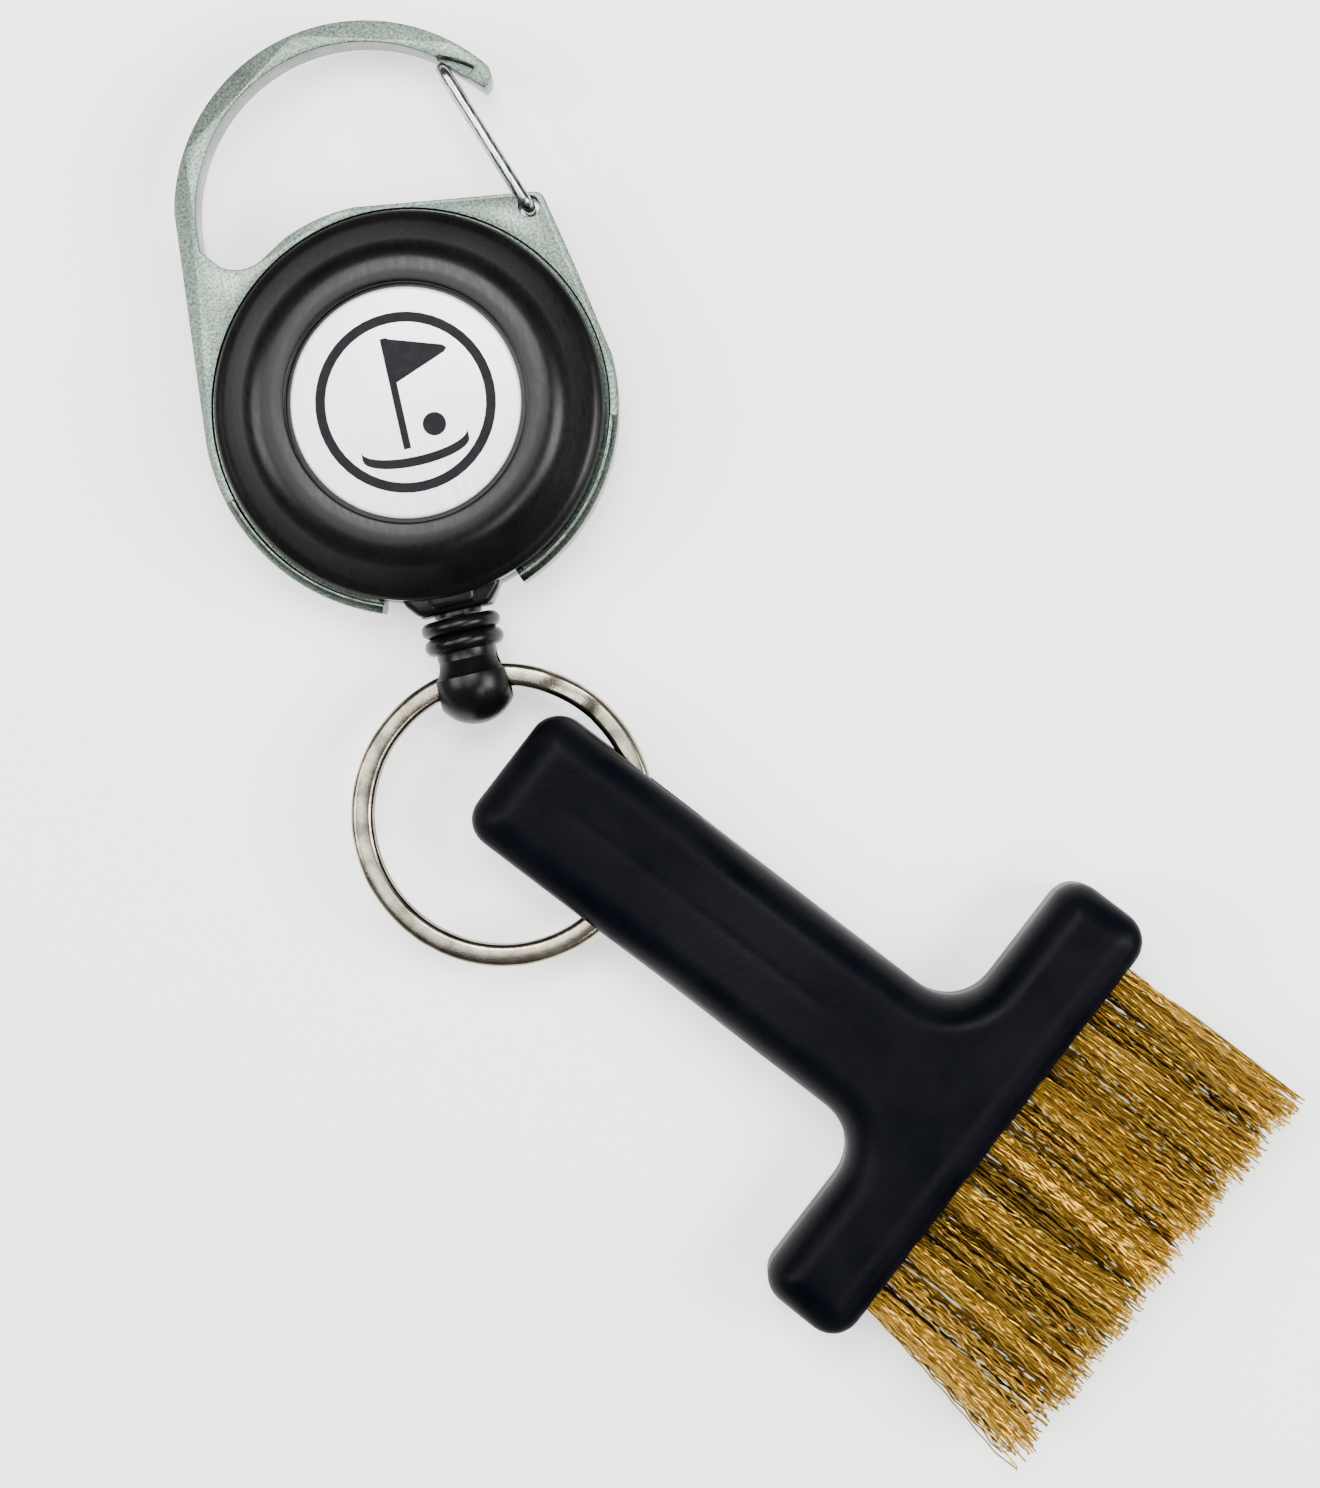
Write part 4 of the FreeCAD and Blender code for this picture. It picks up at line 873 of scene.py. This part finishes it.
def tuft_wires(dice, across, height, splay, burst):
    """The centre lines of one tuft's wires: an array of wires by points by 3, in mm."""
    t = np.linspace(0, 1, POINTS)[None, :]
    angle = dice.uniform(0, 2 * math.pi, (WIRES, 1))
    radius = np.sqrt(dice.uniform(0, 1, (WIRES, 1)))
    worn = (UNEVEN + WORN * abs(splay)) * dice.uniform(0, 1, (WIRES, 1)) ** 1.5
    out = t * (TUFT_REACH - worn + TUFT_ROOT) - TUFT_ROOT
    open_up = np.clip(out / TUFT_REACH, 0, 1)
    bend = open_up ** BEND_POWER
    fan = radius * (burst + (TUFT_TIP - burst) * open_up ** FAN_POWER)
    stray = np.clip(STRAY * dice.standard_t(3, (WIRES, 1)), -STRAY_LIMIT, STRAY_LIMIT)
    drift_v = stray + splay + dice.normal(0, TUFT_STRAY)
    drift_z = dice.normal(0, STRAY, (WIRES, 1))
    phase = dice.uniform(0, 2 * math.pi, (WIRES, 1))
    pitch = CRIMP_LENGTH * dice.uniform(*PITCH_RANGE, (WIRES, 1))
    lean = dice.uniform(0, math.pi, (WIRES, 1))
    size = CRIMP * dice.uniform(*CRIMP_RANGE, (WIRES, 1)) * np.clip((out + 0.5) / 2.0, 0, 1)
    wave = size * np.sin(2 * math.pi * out / pitch + phase)
    v = across + fan * np.cos(angle) + drift_v * bend + wave * np.cos(lean)
    z = height + fan * np.sin(angle) * ROW_SQUASH + drift_z * bend + wave * np.sin(lean)
    v = np.clip(v, BRUSH_LEFT, BRUSH_RIGHT)
    z = np.clip(z, BRUSH_LOW, BRUSH_HIGH)
    return np.stack([BAR_FACE + out, v, z], axis=2)


def tube_mesh(name, lines):
    """Square tubes round many centre lines, given as wires by points by 3, in mm."""
    wires, points, _ = lines.shape
    ways = np.gradient(lines, axis=1)
    ways /= np.linalg.norm(ways, axis=2, keepdims=True)
    side = np.cross(ways, np.array([0.0, 0.0, 1.0]))
    side /= np.linalg.norm(side, axis=2, keepdims=True)
    up = np.cross(side, ways)
    corners = [lines + WIRE * (a * side + b * up) for a, b in ((1, 0), (0, 1), (-1, 0), (0, -1))]
    grid = np.stack(corners, axis=2)
    u, v, z = grid[..., 0], grid[..., 1], grid[..., 2]
    row = (BRUSH_START + u[..., None] * BRUSH_ALONG + v[..., None] * BRUSH_ACROSS
           + z[..., None] * np.array([0.0, 0.0, 1.0]))
    index = np.arange(wires * points * 4).reshape(wires, points, 4)
    here, ahead = index[:, :-1], index[:, 1:]
    quads = np.stack([here, np.roll(here, -1, 2), np.roll(ahead, -1, 2), ahead], axis=3)
    caps = np.concatenate([index[:, 0, ::-1], index[:, -1]])
    faces = np.concatenate([quads.reshape(-1, 4), caps])
    mesh = bpy.data.meshes.new(name)
    mesh.from_pydata((row * MM).reshape(-1, 3).tolist(), [], faces.tolist())
    mesh.polygons.foreach_set("use_smooth", [True] * len(mesh.polygons))
    return new_object(name, mesh)


OUTER_SPLAY = {0: -1.5, 1: -0.7}
MIDDLE_SPLAY = -0.9
for row, side, count, burst in ROWS:
    dice = np.random.default_rng(40 + side)
    lines = []
    for number in range(count):
        across = (number - (count - 1) / 2) * TUFT_PITCH
        splay = OUTER_SPLAY.get(number, 0.0) if side else MIDDLE_SPLAY / (1 + number)
        lines.append(tuft_wires(dice, across, HANDLE_MIDDLE + side * ROW_PITCH, splay, burst))
    bristles = tube_mesh(f"bristles_{row}_row", np.concatenate(lines))
    place_piece(bristles, "brush", "brass_wire", BRASS, f"tufts_{row}_row")

# %% [markdown]
# ## The cord that pulls out
# At rest only a fraction of a millimetre of cord shows between the reel and its end fitting.
# When the brush is pulled, up to 60 cm comes out. A stiff rod would leave a gap behind it, so the
# stretch between the two is one straight tube made of many short rings.

# %% Make the running cord
CORD_RADIUS = 0.44
CORD_HEIGHT = 5.0
CORD_OUT, CORD_IN = -17.36, -17.5
CORD_RINGS = 120
NEARLY_ROUND = 0.999
HIDDEN_START, HIDDEN_END = [-17.0], [-18.2, -18.95]
sideways, upwards = Vector((1, 0, 0)), Vector((0, 0, 1))
stretch = [CORD_OUT + (CORD_IN - CORD_OUT) * i / CORD_RINGS for i in range(CORD_RINGS + 1)]
cord_stations = [(Vector((0, y, CORD_HEIGHT)), sideways, upwards)
                 for y in HIDDEN_START + stretch + HIDDEN_END]
cord_section = wire_section(2 * CORD_RADIUS, 2 * CORD_RADIUS, CORD_RADIUS * NEARLY_ROUND)
cord = sweep("running_cord", cord_stations, cord_section)
cord.data.materials.append(NYLON)
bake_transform(cord)
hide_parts("cord_run")
print("cord faces:", len(cord.data.polygons))
